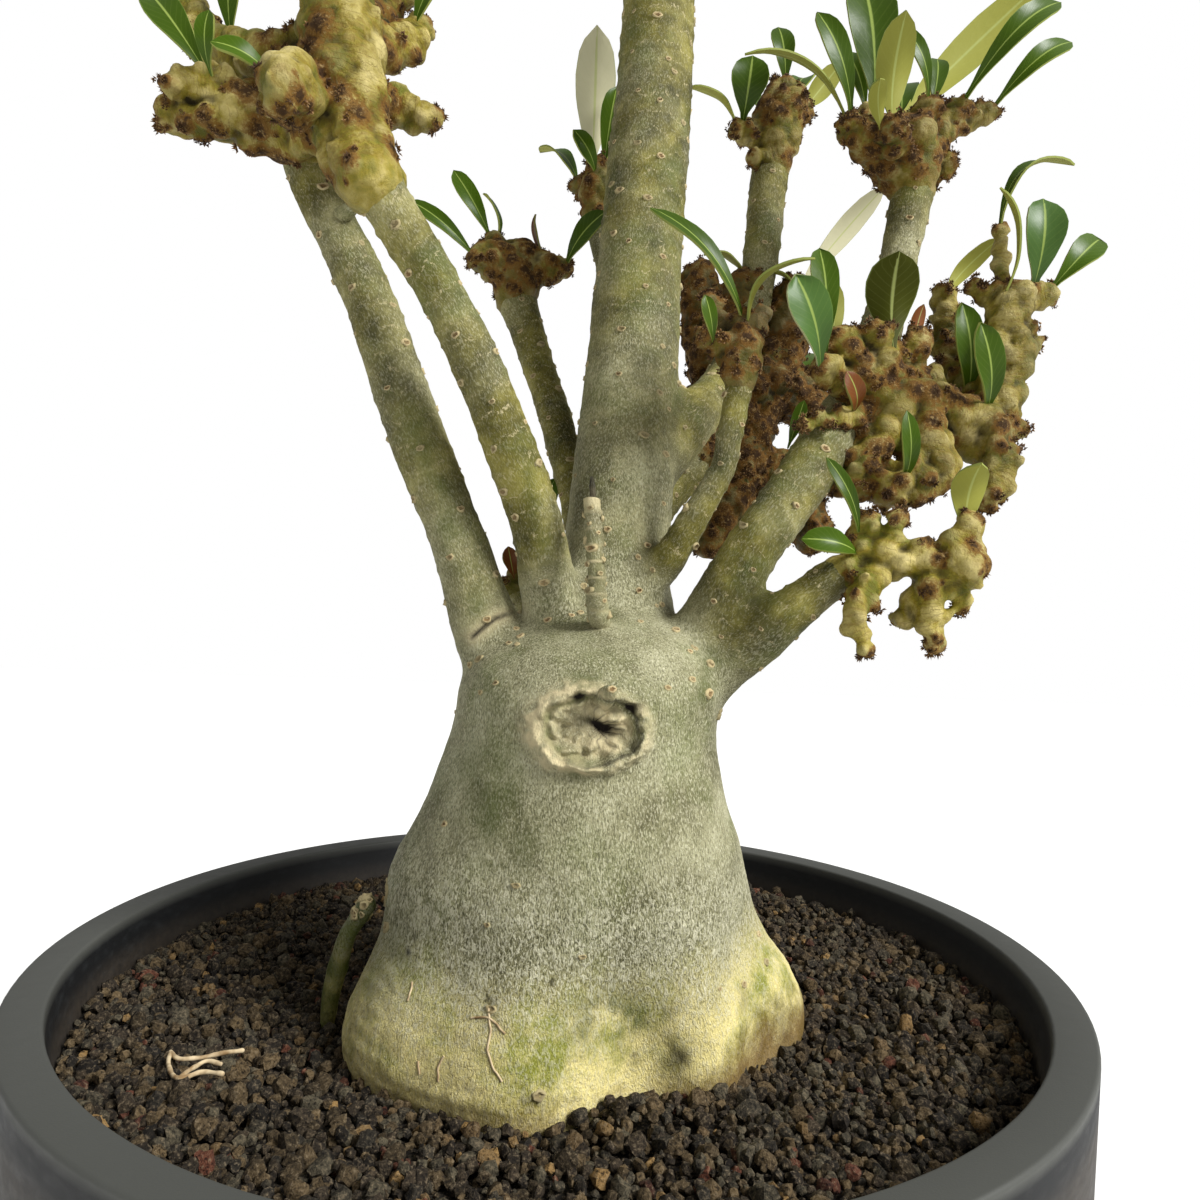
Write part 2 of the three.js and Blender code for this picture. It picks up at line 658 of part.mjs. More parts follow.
function woundLip() {
  const ring = new THREE.TorusGeometry(1, WOUND.lip / WOUND.tall, 5, 16);
  return solid(woundPlace(ring.scale(WOUND.across, WOUND.tall, WOUND.tall)));
}

function woundHollow() {
  const [wide, tall] = WOUND.hollow;
  return solid(woundPlace(new THREE.SphereGeometry(1, 8, 6).scale(wide, tall, 3.5)));
}

const STEM_STEPS = { trunk: 10, leftOuter: 8, leftInner: 8, right: 10 };

function stems(grow = 0) {
  const bare = Object.entries(STEMS).map(([name, stations]) =>
    stem(stations, { sides: name === "trunk" ? 12 : 8, steps: STEM_STEPS[name] ?? 6, grow }),
  );
  const short = Object.values(STUBS).map((stations) => stem(stations, { sides: 6, steps: 4, grow }));
  return [...bare, ...short];
}

function plantBody() {
  const { at, radius } = WOUND.knot;
  const knot = solid(new THREE.IcosahedronGeometry(radius).translate(...at));
  const body = fuse([caudex(), ...stems(), ...roots(), woundLip()]);
  return body.subtract(woundHollow()).add(knot);
}

// The body with the clearance round it, which the heads and the soil are cut back from.
const bodyRoom = fuse([caudex(CLEARANCE), ...stems(CLEARANCE), ...roots(CLEARANCE)]);

// ---------------------------------------------------------------- soil

function dryRootlets(grow = 0) {
  const z = SOIL.level + ROOTLETS.lift;
  const runs = ROOTLETS.runs.map((run) => {
    const stations = run.map(([x, y]) => [x, y, z, ROOTLETS.radius]);
    return stem(stations, { sides: 5, steps: 4, grow });
  });
  return fuse(runs);
}

// The top is a sheet of clods: the points of a grid, each shifted and raised or lowered by its own draw.
// The pot's taper, the holes that the plant stands in and the grooves under the rootlets are then cut.
function soil() {
  const { level, clod, grain, lowest, headroom } = SOIL;
  const random = seeded(11);
  const edge = insideRadius(level) - CLEARANCE;
  const across = 2 * Math.ceil(edge / clod + 1);
  const depth = level - lowest;
  const block = new THREE.BoxGeometry(across * clod, across * clod, depth, across, across, 1);
  const shape = mergeVertices(block.deleteAttribute("normal").deleteAttribute("uv"), 1e-3);
  const place = shape.getAttribute("position");
  for (let i = 0; i < place.count; i++) {
    const [x, y, z] = [place.getX(i), place.getY(i), place.getZ(i)];
    const draw = (most) => (2 * random() - 1) * most;
    if (z < 0) place.setXYZ(i, x, y, lowest - 1);
    else place.setXYZ(i, x + draw(SOIL.shift), y + draw(SOIL.shift), level + draw(grain));
  }
  const inside = [
    [0, lowest],
    [insideRadius(lowest) - CLEARANCE, lowest],
    [insideRadius(level + headroom) - CLEARANCE, level + headroom],
    [0, level + headroom],
  ].map(([r, z]) => new THREE.Vector2(r, z));
  const filled = solid(new THREE.LatheGeometry(inside, POT.sides).rotateX(Math.PI / 2));
  return largest(filled.intersect(solid(shape)).subtract(bodyRoom).subtract(dryRootlets(CLEARANCE)));
}


// ---------------------------------------------------------------- heads

const FACING = {
  front: new THREE.Vector3(0, -1, 0.35),
  back: new THREE.Vector3(0, 1, 0.35),
  up: new THREE.Vector3(0, -0.3, 1),
  left: new THREE.Vector3(-1, -0.3, 0.3),
  right: new THREE.Vector3(1, -0.3, 0.3),
};
const BLADE = {
  thickness: 1.4,
  fold: 0.22, // how far the edges stand above the midrib, as a share of the half width
  smallWidth: 7,
  // The outline: how far along each section stands, and how much of the width it has.
  full: { along: [0, 0.34, 0.66, 0.9, 1], wide: [0.14, 0.68, 1, 0.74, 0] },
  small: { along: [0, 0.45, 0.85, 1], wide: [0.2, 0.9, 0.9, 0] },
};
const KNOBS = {
  crest: [1.12, 0.26], // the least share of the arm's radius that a knob stands out to, and how much more
  hollow: [0.84, 0.1], // the same between the knobs
  end: 0.55, // the arm's last ring is this share as wide
  thinArm: 6, // an arm with a smaller radius has fewer sides
};
const GOLDEN_ANGLE = Math.PI * (3 - Math.sqrt(5));

// One leaf: a folded blade with a thick midrib, narrow at its stalk and widest past its middle.
function leaf({ from, to, width, faces, bow }, grow = 0) {
  const start = new THREE.Vector3(...from);
  const end = new THREE.Vector3(...to);
  const along = end.clone().sub(start).normalize();
  const upper = (FACING[faces] ?? faces).clone();
  upper.addScaledVector(along, -upper.dot(along)).normalize();
  const across = along.clone().cross(upper);
  const middle = start.clone().add(end).multiplyScalar(0.5).addScaledVector(upper, 2 * bow);
  const rib = new THREE.QuadraticBezierCurve3(start, middle, end);
  const outline = width > BLADE.smallWidth ? BLADE.full : BLADE.small;
  const steps = outline.wide.length - 1;
  const geometry = new THREE.ConeGeometry(1, 1, 4, steps);
  const place = geometry.getAttribute("position");
  for (let i = 0; i < place.count; i++) {
    const ring = Math.round((place.getY(i) + 0.5) * steps);
    const flat = Math.hypot(place.getX(i), place.getZ(i)) || 1;
    const side = place.getX(i) / flat;
    const face = place.getZ(i) / flat;
    const half = (outline.wide[ring] * width) / 2 + (ring < steps ? grow : 0);
    const lift = (face * (BLADE.thickness + 2 * grow)) / 2 + Math.abs(side) * BLADE.fold * half;
    const point = rib
      .getPoint(outline.along[ring])
      .addScaledVector(across, side * half)
      .addScaledVector(upper, ring < steps ? lift : 0);
    place.setXYZ(i, point.x, point.y, point.z);
  }
  return solid(geometry);
}

// An arm of a head is covered in knobs: its points stand out and in by turns, each by its own share.
function knobbyArm(stations, { knob }, seed, grow) {
  const curve = new THREE.CatmullRomCurve3(stations.map(([x, y, z]) => new THREE.Vector3(x, y, z)));
  const steps = Math.max(2, Math.round(curve.getLength() / knob));
  const sides = stations[0][3] < KNOBS.thinArm ? 5 : 6;
  const swell = (ring, side) => {
    if (ring === 0) return 1;
    const [least, more] = (ring + side) % 2 ? KNOBS.crest : KNOBS.hollow;
    const out = least + more * seeded(seed + 31 * ring + 7 * side)();
    return ring === steps ? KNOBS.end * out : out;
  };
  return stem(stations, { sides, steps, grow, swell });
}

function head(plan, seed, grow = 0) {
  const arms = plan.arms.map((stations, i) => knobbyArm(stations, plan, seed + 1000 * i, grow));
  const leaves = plan.leaves.map((one) => leaf(one, grow));
  return fuse([...arms, ...leaves]);
}

function crownPlan() {
  const { core, knob, arms, armReach, armRise, armRadius, leavesPerArm } = CROWN;
  const { leafSpread, leafReach, leafRise, leafDroop, leafWidth, leafBow } = CROWN;
  const [x, y, z] = core[1];
  const [firstRise, nextRise] = CROWN.riseShares;
  const plan = { knob, arms: [core], leaves: [] };
  for (let i = 0; i < arms; i++) {
    const angle = i * GOLDEN_ANGLE;
    const rise = armRise * (firstRise + nextRise * i);
    const at = (reach, height, radius) => [
      x + Math.cos(angle) * reach,
      y + Math.sin(angle) * reach,
      z + height,
      radius,
    ];
    const tip = at(armReach, rise, 0.6 * armRadius);
    const root = at(CROWN.rootOffset, 0, armRadius);
    plan.arms.push([root, at(0.6 * armReach, 0.4 * rise, 0.9 * armRadius), tip]);
    for (let j = 0; j < leavesPerArm; j++) {
      const turn = angle + (j - (leavesPerArm - 1) / 2) * leafSpread;
      const out = new THREE.Vector3(Math.cos(turn), Math.sin(turn), 0);
      plan.leaves.push({
        from: tip.slice(0, 3),
        to: [
          tip[0] + out.x * leafReach,
          tip[1] + out.y * leafReach,
          tip[2] + leafRise * (1 - leafDroop * j),
        ],
        width: leafWidth,
        faces: out.clone().multiplyScalar(-0.6).setZ(1),
        bow: leafBow,
      });
    }
  }
  return plan;
}

// Heads are cut back from the body and from each head made before them.
function heads() {
  const plans = { ...HEADS, head_crown: crownPlan() };
  let taken = bodyRoom;
  return Object.entries(plans).map(([name, plan], i) => {
    const shape = largest(head(plan, 100 + i).subtract(taken));
    taken = taken.add(head(plan, 100 + i, CLEARANCE));
    return node(name, shape, COLOURS.head);
  });
}

// ---------------------------------------------------------------- the whole part

const plant = new THREE.Group();
plant.add(
  node("pot", pot(), COLOURS.pot),
  node("soil", soil(), COLOURS.soil),
  node("caudex_and_stems", plantBody(), COLOURS.bark),
  node("dry_rootlets", dryRootlets(), COLOURS.dryRoot),
  ...heads(),
);

export default plant;
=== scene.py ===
"""A desert rose (adenium) in a round nursery pot: its surfaces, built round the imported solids.

Sizes are in millimetres unless a name says otherwise, and Blender's own units are metres. The origin is
the centre of the pot's underside, +Z is up, and the plant is seen from -Y with +X to the right.
"""

from __future__ import annotations

import logging
import math
from collections.abc import Callable
from dataclasses import dataclass, field
from enum import Enum
from functools import partial

import bpy
import numpy as np
from mathutils import Matrix, Vector, kdtree, noise

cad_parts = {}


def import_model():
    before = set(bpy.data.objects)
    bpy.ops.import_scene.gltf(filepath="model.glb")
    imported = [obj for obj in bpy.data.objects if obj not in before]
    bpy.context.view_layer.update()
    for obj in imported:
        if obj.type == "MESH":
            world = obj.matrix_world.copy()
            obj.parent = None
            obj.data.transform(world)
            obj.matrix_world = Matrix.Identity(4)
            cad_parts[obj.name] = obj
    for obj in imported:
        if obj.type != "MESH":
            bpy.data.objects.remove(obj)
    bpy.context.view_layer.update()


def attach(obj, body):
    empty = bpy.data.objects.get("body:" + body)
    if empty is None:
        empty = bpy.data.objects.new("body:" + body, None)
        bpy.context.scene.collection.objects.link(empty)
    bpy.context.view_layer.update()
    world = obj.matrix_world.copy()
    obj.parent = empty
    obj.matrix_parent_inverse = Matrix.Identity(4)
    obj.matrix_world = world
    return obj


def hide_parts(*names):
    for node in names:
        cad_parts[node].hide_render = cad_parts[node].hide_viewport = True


log = logging.getLogger("desert_rose")

MM = 0.001
GOLDEN_ANGLE = math.pi * (3 - math.sqrt(5))
UP = Vector((0, 0, 1))
TO_THE_BACK = Vector((0, 1, 0))

# The sockets of a Mix node that mixes colours.
FACTOR, COLOUR_A, COLOUR_B, MIXED = 0, 6, 7, 2


# ---------------------------------------------------------------- colours and nodes


def linear(code: str) -> tuple[float, float, float, float]:
    """Turn an sRGB hex colour into linear light.

    Args:
        code: the colour, such as "#8c8f5a".

    Returns:
        Red, green, blue and an alpha of 1.
    """
    parts = [int(code[i : i + 2], 16) / 255 for i in (1, 3, 5)]
    light = [part / 12.92 if part <= 0.04045 else ((part + 0.055) / 1.055) ** 2.4 for part in parts]
    return (*light, 1.0)


def plug(node: bpy.types.Node, inputs: dict) -> None:
    """Set or link a node's inputs.

    Args:
        node: the node.
        inputs: socket name or number, and the value or the output socket that it takes.
    """
    for key, value in inputs.items():
        socket = node.inputs[key]
        if isinstance(value, bpy.types.NodeSocket):
            node.id_data.links.new(value, socket)
        else:
            socket.default_value = linear(value) if isinstance(value, str) else value


def add_node(
    tree: bpy.types.NodeTree,
    kind: str,
    inputs: dict | None = None,
    stops: tuple[tuple[float, str], ...] = (),
    out: int | str = 0,
    **settings: object,
) -> bpy.types.NodeSocket | None:
    """Add a node with its settings and links.

    Args:
        tree: the node tree.
        kind: the node's Blender type, less its first word.
        inputs: what its sockets hold or are linked to.
        stops: places and colours, where the node is a colour ramp.
        out: which output is wanted.
        **settings: the node's own properties.

    Returns:
        The new node's output, or nothing where it has none.
    """
    node = tree.nodes.new(f"ShaderNode{kind}")
    for name, value in settings.items():
        setattr(node, name, value)
    for i, (place, colour) in enumerate(stops):
        elements = node.color_ramp.elements
        element = elements[i] if i < 2 else elements.new(place)
        element.position = place
        element.color = linear(colour)
    plug(node, inputs or {})
    return node.outputs[out] if node.outputs else None


def new_material(name: str, inputs: dict) -> tuple[bpy.types.Material, bpy.types.Node, Callable]:
    """Start a material on one Principled shader.

    Args:
        name: the finish's name.
        inputs: the shader's constant values.

    Returns:
        The material, its shader, and add_node for its tree.
    """
    material = bpy.data.materials.new(name)
    material.use_nodes = True
    shader = material.node_tree.nodes["Principled BSDF"]
    plug(shader, inputs)
    return material, shader, partial(add_node, material.node_tree)


def millimetres(node: Callable) -> bpy.types.NodeSocket:
    """The place on the object in millimetres, for a material's patterns."""
    return node("VectorMath", {0: node("TexCoord", out="Object"), 3: 1 / MM}, operation="SCALE")


def paint_over(node: Callable, colour: object, coats: tuple[tuple, ...]) -> bpy.types.NodeSocket:
    """Lay coats of colour over a colour.

    Args:
        node: add_node for the material's tree.
        colour: what lies below, as a hex colour or a socket.
        coats: how strongly each coat covers, and its colour.

    Returns:
        The colour that shows.
    """
    for amount, paint in coats:
        mix = {FACTOR: amount, COLOUR_A: colour, COLOUR_B: paint}
        colour = node("Mix", mix, out=MIXED, data_type="RGBA")
    return colour


# ---------------------------------------------------------------- meshes


def deselect() -> None:
    """Leave nothing selected."""
    bpy.ops.object.select_all(action="DESELECT")


def activate(*pieces: bpy.types.Object) -> None:
    """Select some pieces and nothing else.

    Args:
        *pieces: mesh or curve objects; the first becomes the active one.
    """
    deselect()
    for piece in pieces:
        piece.select_set(True)
    bpy.context.view_layer.objects.active = pieces[0]


def apply_modifier(piece: bpy.types.Object, kind: str, **settings: object) -> None:
    """Add a modifier and apply it at once.

    Args:
        piece: the mesh object.
        kind: the modifier's Blender type.
        **settings: its properties.
    """
    modifier = piece.modifiers.new(kind.lower(), kind)
    for name, value in settings.items():
        setattr(modifier, name, value)
    activate(piece)
    bpy.ops.object.modifier_apply(modifier=modifier.name)


def join(name: str, pieces: list[bpy.types.Object]) -> bpy.types.Object:
    """Join meshes into one piece.

    Args:
        name: the new piece's name.
        pieces: the meshes.

    Returns:
        The joined piece.
    """
    activate(*pieces)
    if len(pieces) > 1:
        bpy.ops.object.join()
    whole = bpy.context.object
    whole.name = name
    whole.data.name = name
    return whole


def new_object(name: str, data: bpy.types.ID) -> bpy.types.Object:
    """Put new data into the scene.

    Args:
        name: the object's name.
        data: the mesh, curve or camera that it shows.

    Returns:
        The new object.
    """
    piece = bpy.data.objects.new(name, data)
    bpy.context.collection.objects.link(piece)
    return piece


def rows_of(items: bpy.types.bpy_prop_collection, key: str) -> np.ndarray:
    """Read three numbers of each item.

    Args:
        items: a mesh's points, normals or faces.
        key: what is read of them.

    Returns:
        One row for each item.
    """
    flat = np.empty(3 * len(items), np.float32)
    items.foreach_get(key, flat)
    return flat.reshape(-1, 3).astype(float)


def points_of(piece: bpy.types.Object) -> np.ndarray:
    """The piece's points in millimetres, one row each."""
    return rows_of(piece.data.vertices, "co") / MM


def move_points(piece: bpy.types.Object, points: np.ndarray) -> None:
    """Put the piece's points, in millimetres, at new places."""
    piece.data.vertices.foreach_set("co", (points * MM).astype(np.float32).ravel())
    piece.data.update()


def normals_of(piece: bpy.types.Object) -> np.ndarray:
    """The normals at the piece's points, one row each."""
    return rows_of(piece.data.vertex_normals, "vector")


def centres_of(piece: bpy.types.Object) -> np.ndarray:
    """The centres of the piece's faces in millimetres, one row each."""
    return rows_of(piece.data.polygons, "center") / MM


def store(piece: bpy.types.Object, name: str, values: np.ndarray) -> None:
    """Keep values at the piece's points for its material.

    Args:
        piece: the mesh object.
        name: the attribute's name.
        values: one number for each point, or three, or four for a colour.
    """
    wide = 1 if values.ndim == 1 else values.shape[1]
    kind, key = {1: ("FLOAT", "value"), 3: ("FLOAT_VECTOR", "vector"), 4: ("FLOAT_COLOR", "color")}[wide]
    attribute = piece.data.attributes.new(name, kind, "POINT")
    attribute.data.foreach_set(key, values.astype(np.float32).ravel())


def subdivide_where(piece: bpy.types.Object, chosen: np.ndarray, cuts: int = 1) -> None:
    """Subdivide the chosen faces.

    Args:
        piece: the mesh object.
        chosen: true for each face that is cut.
        cuts: how many cuts an edge gets.
    """
    mesh = piece.data
    activate(piece)
    bpy.context.tool_settings.mesh_select_mode = (False, False, True)
    mesh.vertices.foreach_set("select", np.zeros(len(mesh.vertices), bool))
    mesh.edges.foreach_set("select", np.zeros(len(mesh.edges), bool))
    mesh.polygons.foreach_set("select", chosen)
    bpy.ops.object.mode_set(mode="EDIT")
    bpy.ops.mesh.subdivide(number_cuts=cuts)
    bpy.ops.object.mode_set(mode="OBJECT")


def smooth_rows(rows: tuple, steps: int) -> np.ndarray:
    """A centripetal Catmull-Rom curve through rows of numbers.

    Args:
        rows: the stations; the first three columns are a place, the others follow along.
        steps: how many points lie on each span.

    Returns:
        The curve's rows.
    """
    table = np.asarray(rows, float)
    table = np.vstack([2 * table[0] - table[1], table, 2 * table[-1] - table[-2]])
    gaps = np.sqrt(np.linalg.norm(np.diff(table[:, :3], axis=0), axis=1))
    spans = []
    for i in range(1, len(table) - 2):
        p0, p1, p2, p3 = table[i - 1 : i + 3]
        t1 = gaps[i - 1]
        t2 = t1 + gaps[i]
        t3 = t2 + gaps[i + 1]
        t = np.linspace(t1, t2, steps, endpoint=False)[:, None]
        a1 = (t1 - t) / t1 * p0 + t / t1 * p1
        a2 = (t2 - t) / (t2 - t1) * p1 + (t - t1) / (t2 - t1) * p2
        a3 = (t3 - t) / (t3 - t2) * p2 + (t - t2) / (t3 - t2) * p3
        b1 = (t2 - t) / t2 * a1 + t / t2 * a2
        b2 = (t3 - t) / (t3 - t1) * a2 + (t - t1) / (t3 - t1) * a3
        spans.append((t2 - t) / (t2 - t1) * b1 + (t - t1) / (t2 - t1) * b2)
    return np.vstack([*spans, table[-2:-1]])


def unit(rows: np.ndarray) -> np.ndarray:
    """The rows, each scaled to length 1."""
    return rows / np.linalg.norm(rows, axis=1, keepdims=True)


def run_along(route: np.ndarray) -> np.ndarray:
    """The length along a route at each of its points."""
    return np.concatenate([[0], np.cumsum(np.linalg.norm(np.diff(route[:, :3], axis=0), axis=1))])


def even_route(stations: tuple, spacing: float) -> np.ndarray:
    """The smooth curve through x, y, z, radius stations, with its points about evenly spaced.

    Args:
        stations: at least two of them.
        spacing: between two points, in millimetres.

    Returns:
        Rows of x, y, z, radius.
    """
    fine = smooth_rows(stations, 16)
    run = run_along(fine)
    count = max(3, round(run[-1] / spacing) + 1)
    at = np.linspace(0, run[-1], count)
    return np.column_stack([np.interp(at, run, column) for column in fine.T])


def tangents_of(route: np.ndarray) -> np.ndarray:
    """The unit directions along a route's points."""
    return unit(np.gradient(route[:, :3], axis=0))


def tube(name: str, route: np.ndarray, detail: int = 4) -> bpy.types.Object:
    """A round tube with closed ends along a route.

    Args:
        name: the object's name.
        route: rows of x, y, z, radius.
        detail: the curve's bevel resolution.

    Returns:
        The tube as a mesh object.
    """
    curve = bpy.data.curves.new(name, "CURVE")
    curve.dimensions = "3D"
    curve.bevel_depth = 1.0
    curve.bevel_resolution = detail
    curve.use_fill_caps = True
    spline = curve.splines.new("POLY")
    spline.points.add(len(route) - 1)
    for point, (x, y, z, radius) in zip(spline.points, route * MM):
        point.co = (x, y, z, 1)
        point.radius = radius
    activate(new_object(name, curve))
    bpy.ops.object.convert(target="MESH")
    return bpy.context.object


def rounded(route: np.ndarray, start: bool = False) -> np.ndarray:
    """Add a round end to a route.

    Args:
        route: rows of x, y, z, radius.
        start: whether its start is rounded too.

    Returns:
        The longer route.
    """
    turns = np.radians([30, 55, 75, 88])
    radius = route[-1, 3]
    ahead = tangents_of(route)
    cap = [[*(route[-1, :3] + ahead[-1] * radius * math.sin(t)), radius * math.cos(t)] for t in turns]
    whole = np.vstack([route, cap])
    return rounded(whole[::-1])[::-1] if start else whole


def frames_along(directions: np.ndarray, turns: np.ndarray) -> np.ndarray:
    """Unit frames whose third column points along each direction, turned about it.

    Args:
        directions: unit rows.
        turns: angles in radians.

    Returns:
        An array of 3 by 3 frames, their columns the local axes.
    """
    helper = np.where(np.abs(directions[:, 2:3]) < 0.9, [[0.0, 0.0, 1.0]], [[1.0, 0.0, 0.0]])
    side = unit(np.cross(helper, directions))
    other = np.cross(directions, side)
    cosine, sine = np.cos(turns)[:, None], np.sin(turns)[:, None]
    first = side * cosine + other * sine
    second = np.cross(directions, first)
    return np.stack([first, second, directions], axis=2)


def scatter(
    name: str,
    prototype: bpy.types.Object,
    places: np.ndarray,
    frames: np.ndarray,
    tones: np.ndarray,
) -> bpy.types.Object:
    """One mesh that holds a copy of a prototype at each place.

    Args:
        name: the new object's name.
        prototype: the shape, in millimetres round the origin; it stays.
        places: one row for each copy.
        frames: a 3 by 3 matrix for each copy, size included.
        tones: a number for each copy, kept at its points as "tone".

    Returns:
        The new mesh object, with the prototype's "blade" attribute if it has one.
    """
    base = points_of(prototype)
    spread = np.einsum("nij,kj->nki", frames, base) + places[:, None, :]
    faces = [list(face.vertices) for face in prototype.data.polygons]
    shifts = range(0, len(places) * len(base), len(base))
    mesh = bpy.data.meshes.new(name)
    mesh.from_pydata(
        (spread.reshape(-1, 3) * MM).tolist(),
        [],
        [[corner + shift for corner in face] for shift in shifts for face in faces],
    )
    mesh.polygons.foreach_set("use_smooth", np.ones(len(mesh.polygons), bool))
    piece = new_object(name, mesh)
    store(piece, "tone", np.repeat(tones, len(base)))
    blade = prototype.data.attributes.get("blade")
    if blade:
        values = np.empty(len(base), np.float32)
        blade.data.foreach_get("value", values)
        store(piece, "blade", np.tile(values, len(places)))
    return piece


def shade(piece: bpy.types.Object, degrees: float = 180.0) -> None:
    """Shade a piece smooth.

    Args:
        piece: the mesh object.
        degrees: where faces meet at a larger angle, the edge stays.
    """
    activate(piece)
    if degrees < 180:
        bpy.ops.object.shade_smooth_by_angle(angle=math.radians(degrees))
    else:
        bpy.ops.object.shade_smooth()


def search_tree(places: np.ndarray) -> kdtree.KDTree:
    """Sort places so that the nearest is quickly found.

    Args:
        places: rows of x, y, z.

    Returns:
        The tree, which names each place by its row.
    """
    tree = kdtree.KDTree(len(places))
    for i, place in enumerate(places):
        tree.insert(place, i)
    tree.balance()
    return tree


def discard(*pieces: bpy.types.Object) -> None:
    """Delete scratch objects."""
    for piece in pieces:
        bpy.data.objects.remove(piece, do_unlink=True)


def rough(points: np.ndarray, size: float, octaves: int = 3) -> np.ndarray:
    """Fractal noise at points, about -1 to 1.

    Args:
        points: rows in millimetres.
        size: the largest feature, in millimetres.
        octaves: how many finer layers are added.

    Returns:
        One number for each point.
    """
    return np.array([noise.fractal(Vector(row), 1.0, 2.0, octaves) for row in points / size])


def fade(value: np.ndarray, low: float, high: float) -> np.ndarray:
    """A smooth step from 0 at low to 1 at high; low may be the larger."""
    share = np.clip((value - low) / (high - low), 0, 1)
    return share * share * (3 - 2 * share)


def relief_of(piece: bpy.types.Object, iterations: int) -> np.ndarray:
    """How far each point stands out of the piece's smoothed skin, in millimetres.

    Args:
        piece: the mesh object.
        iterations: how strongly the skin that it is measured from is smoothed.

    Returns:
        One number for each point, less than 0 in a hollow.
    """
    smooth = piece.copy()
    smooth.data = piece.data.copy()
    bpy.context.collection.objects.link(smooth)
    apply_modifier(smooth, "SMOOTH", factor=0.5, iterations=iterations)
    gap = np.einsum("ij,ij->i", points_of(piece) - points_of(smooth), normals_of(piece))
    discard(smooth)
    return gap


def hand_over(piece: bpy.types.Object, finish: list[bpy.types.Material], slot: str, *nodes: str) -> None:
    """Dress a piece, let it ride on the part and stand for its solids.

    Args:
        piece: the finished mesh object.
        finish: its materials, or none where it carries them.
        slot: not used.
        *nodes: the solids that it stands for.
    """
    if finish:
        piece.data.materials.clear()
    for material in finish:
        piece.data.materials.append(material)
    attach(piece, "root")
    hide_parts(*nodes)
    triangles = sum(len(face.vertices) - 2 for face in piece.data.polygons)
    log.info("%s: %d triangles", piece.name, triangles)


# ---------------------------------------------------------------- finishes


@dataclass(frozen=True)
class BlackPolypropylene:
    """Injection-moulded polypropylene, as nursery pots are: a dull black that greys where it is rubbed, and
    a rim band grey from wear and painted sheen.
    """

    body: str = "#101112"
    rubbed: str = "#1f2122"
    # the rim's grey band: wear, and painted sheen where the rim catches the light
    rim_wear_and_sheen: str = "#50514c"
    dust: str = "#4a4136"
    scuff: float = 6.0  # the length of a scuff
    scratch: float = 0.5
    rim_level: float = 199.0
    gloss: float = 0.5

    def material(self) -> bpy.types.Material:
        """Build the material.

        Returns:
            Black plastic with rubbed patches, a rim band of wear and painted sheen, fine scratches round
            the pot, and dust near the soil.
        """
        material, shader, node = new_material("black_polypropylene", {"Specular IOR Level": 0.3})
        mm = millimetres(node)
        flat = node("VectorMath", {0: mm, 1: (1, 1, 2.5)}, operation="MULTIPLY")
        rub, hair, specks = [
            node("TexNoise", {"Vector": vector, "Scale": 1 / size, "Detail": detail, "Roughness": soft})
            for vector, size, detail, soft in (
                (flat, self.scuff, 6.0, 0.5),
                (flat, self.scratch, 2.0, 0.5),
                (mm, 2.2, 5.0, 0.7),
            )
        ]
        height = node("SeparateXYZ", {0: mm}, out="Z")
        rubbed = node("MapRange", {"Value": rub, "From Min": 0.5, "From Max": 0.78})
        near_soil = node(
            "MapRange",
            {"Value": height, "From Min": 194.0, "From Max": 186.0, "To Max": 0.8},
            interpolation_type="SMOOTHSTEP",
        )
        dusty = node("Math", {0: near_soil, 1: specks}, operation="MULTIPLY")
        edge = {"From Min": self.rim_level - 2.5, "From Max": self.rim_level}
        # a grey band on the rim, partly wear and partly painted sheen
        on_rim = node("MapRange", {"Value": height, **edge, "To Max": 0.8})
        coats = ((rubbed, self.rubbed), (on_rim, self.rim_wear_and_sheen), (dusty, self.dust))
        colour = paint_over(node, self.body, coats)
        dull = node("MapRange", {"Value": rub, "To Min": self.gloss - 0.08, "To Max": self.gloss + 0.24})
        bump = node("Bump", {"Strength": 0.35, "Distance": 0.12 * MM, "Height": hair})
        plug(shader, {"Base Color": colour, "Roughness": dull, "Normal": bump})
        return material


@dataclass(frozen=True)
class VolcanicGrit:
    """Crushed and sieved lava, dry: matt, pitted, each granule of its own shade."""

    name: str
    dark: str
    light: str
    pit: float = 0.9  # across a gas bubble's pit
    # painted shade in the small hollows of the grain
    pitted: str = "#0f0c09"
    # dust, and also a painted highlight on the raised grain
    dust: str = "#8c7c63"

    def material(self) -> bpy.types.Material:
        """Build the material.

        Returns:
            Grit that reads each granule's shade from its "tone" attribute.
        """
        material, shader, node = new_material(self.name, {"Roughness": 0.93, "Specular IOR Level": 0.25})
        tone = node("Attribute", out="Fac", attribute_name="tone")
        pores = {"Scale": 1 / self.pit, "Detail": 4.0, "Roughness": 0.7}
        grain = node("TexNoise", {"Vector": millimetres(node), **pores})
        # the first is dust with a painted highlight on the raised grain, the second painted shade in its
        # hollows
        dust_and_highlight, pit_shade = [
            node("MapRange", {"Value": grain, "From Min": low, "From Max": high, "To Max": most})
            for low, high, most in ((0.53, 0.68, 0.6), (0.5, 0.36, 0.85))
        ]
        colour = node("ValToRGB", {0: tone}, stops=((0.0, self.dark), (1.0, self.light)))
        colour = paint_over(node, colour, ((dust_and_highlight, self.dust), (pit_shade, self.pitted)))
        bump = node("Bump", {"Strength": 1.0, "Distance": 0.9 * MM, "Height": grain})
        plug(shader, {"Base Color": colour, "Normal": bump})
        return material


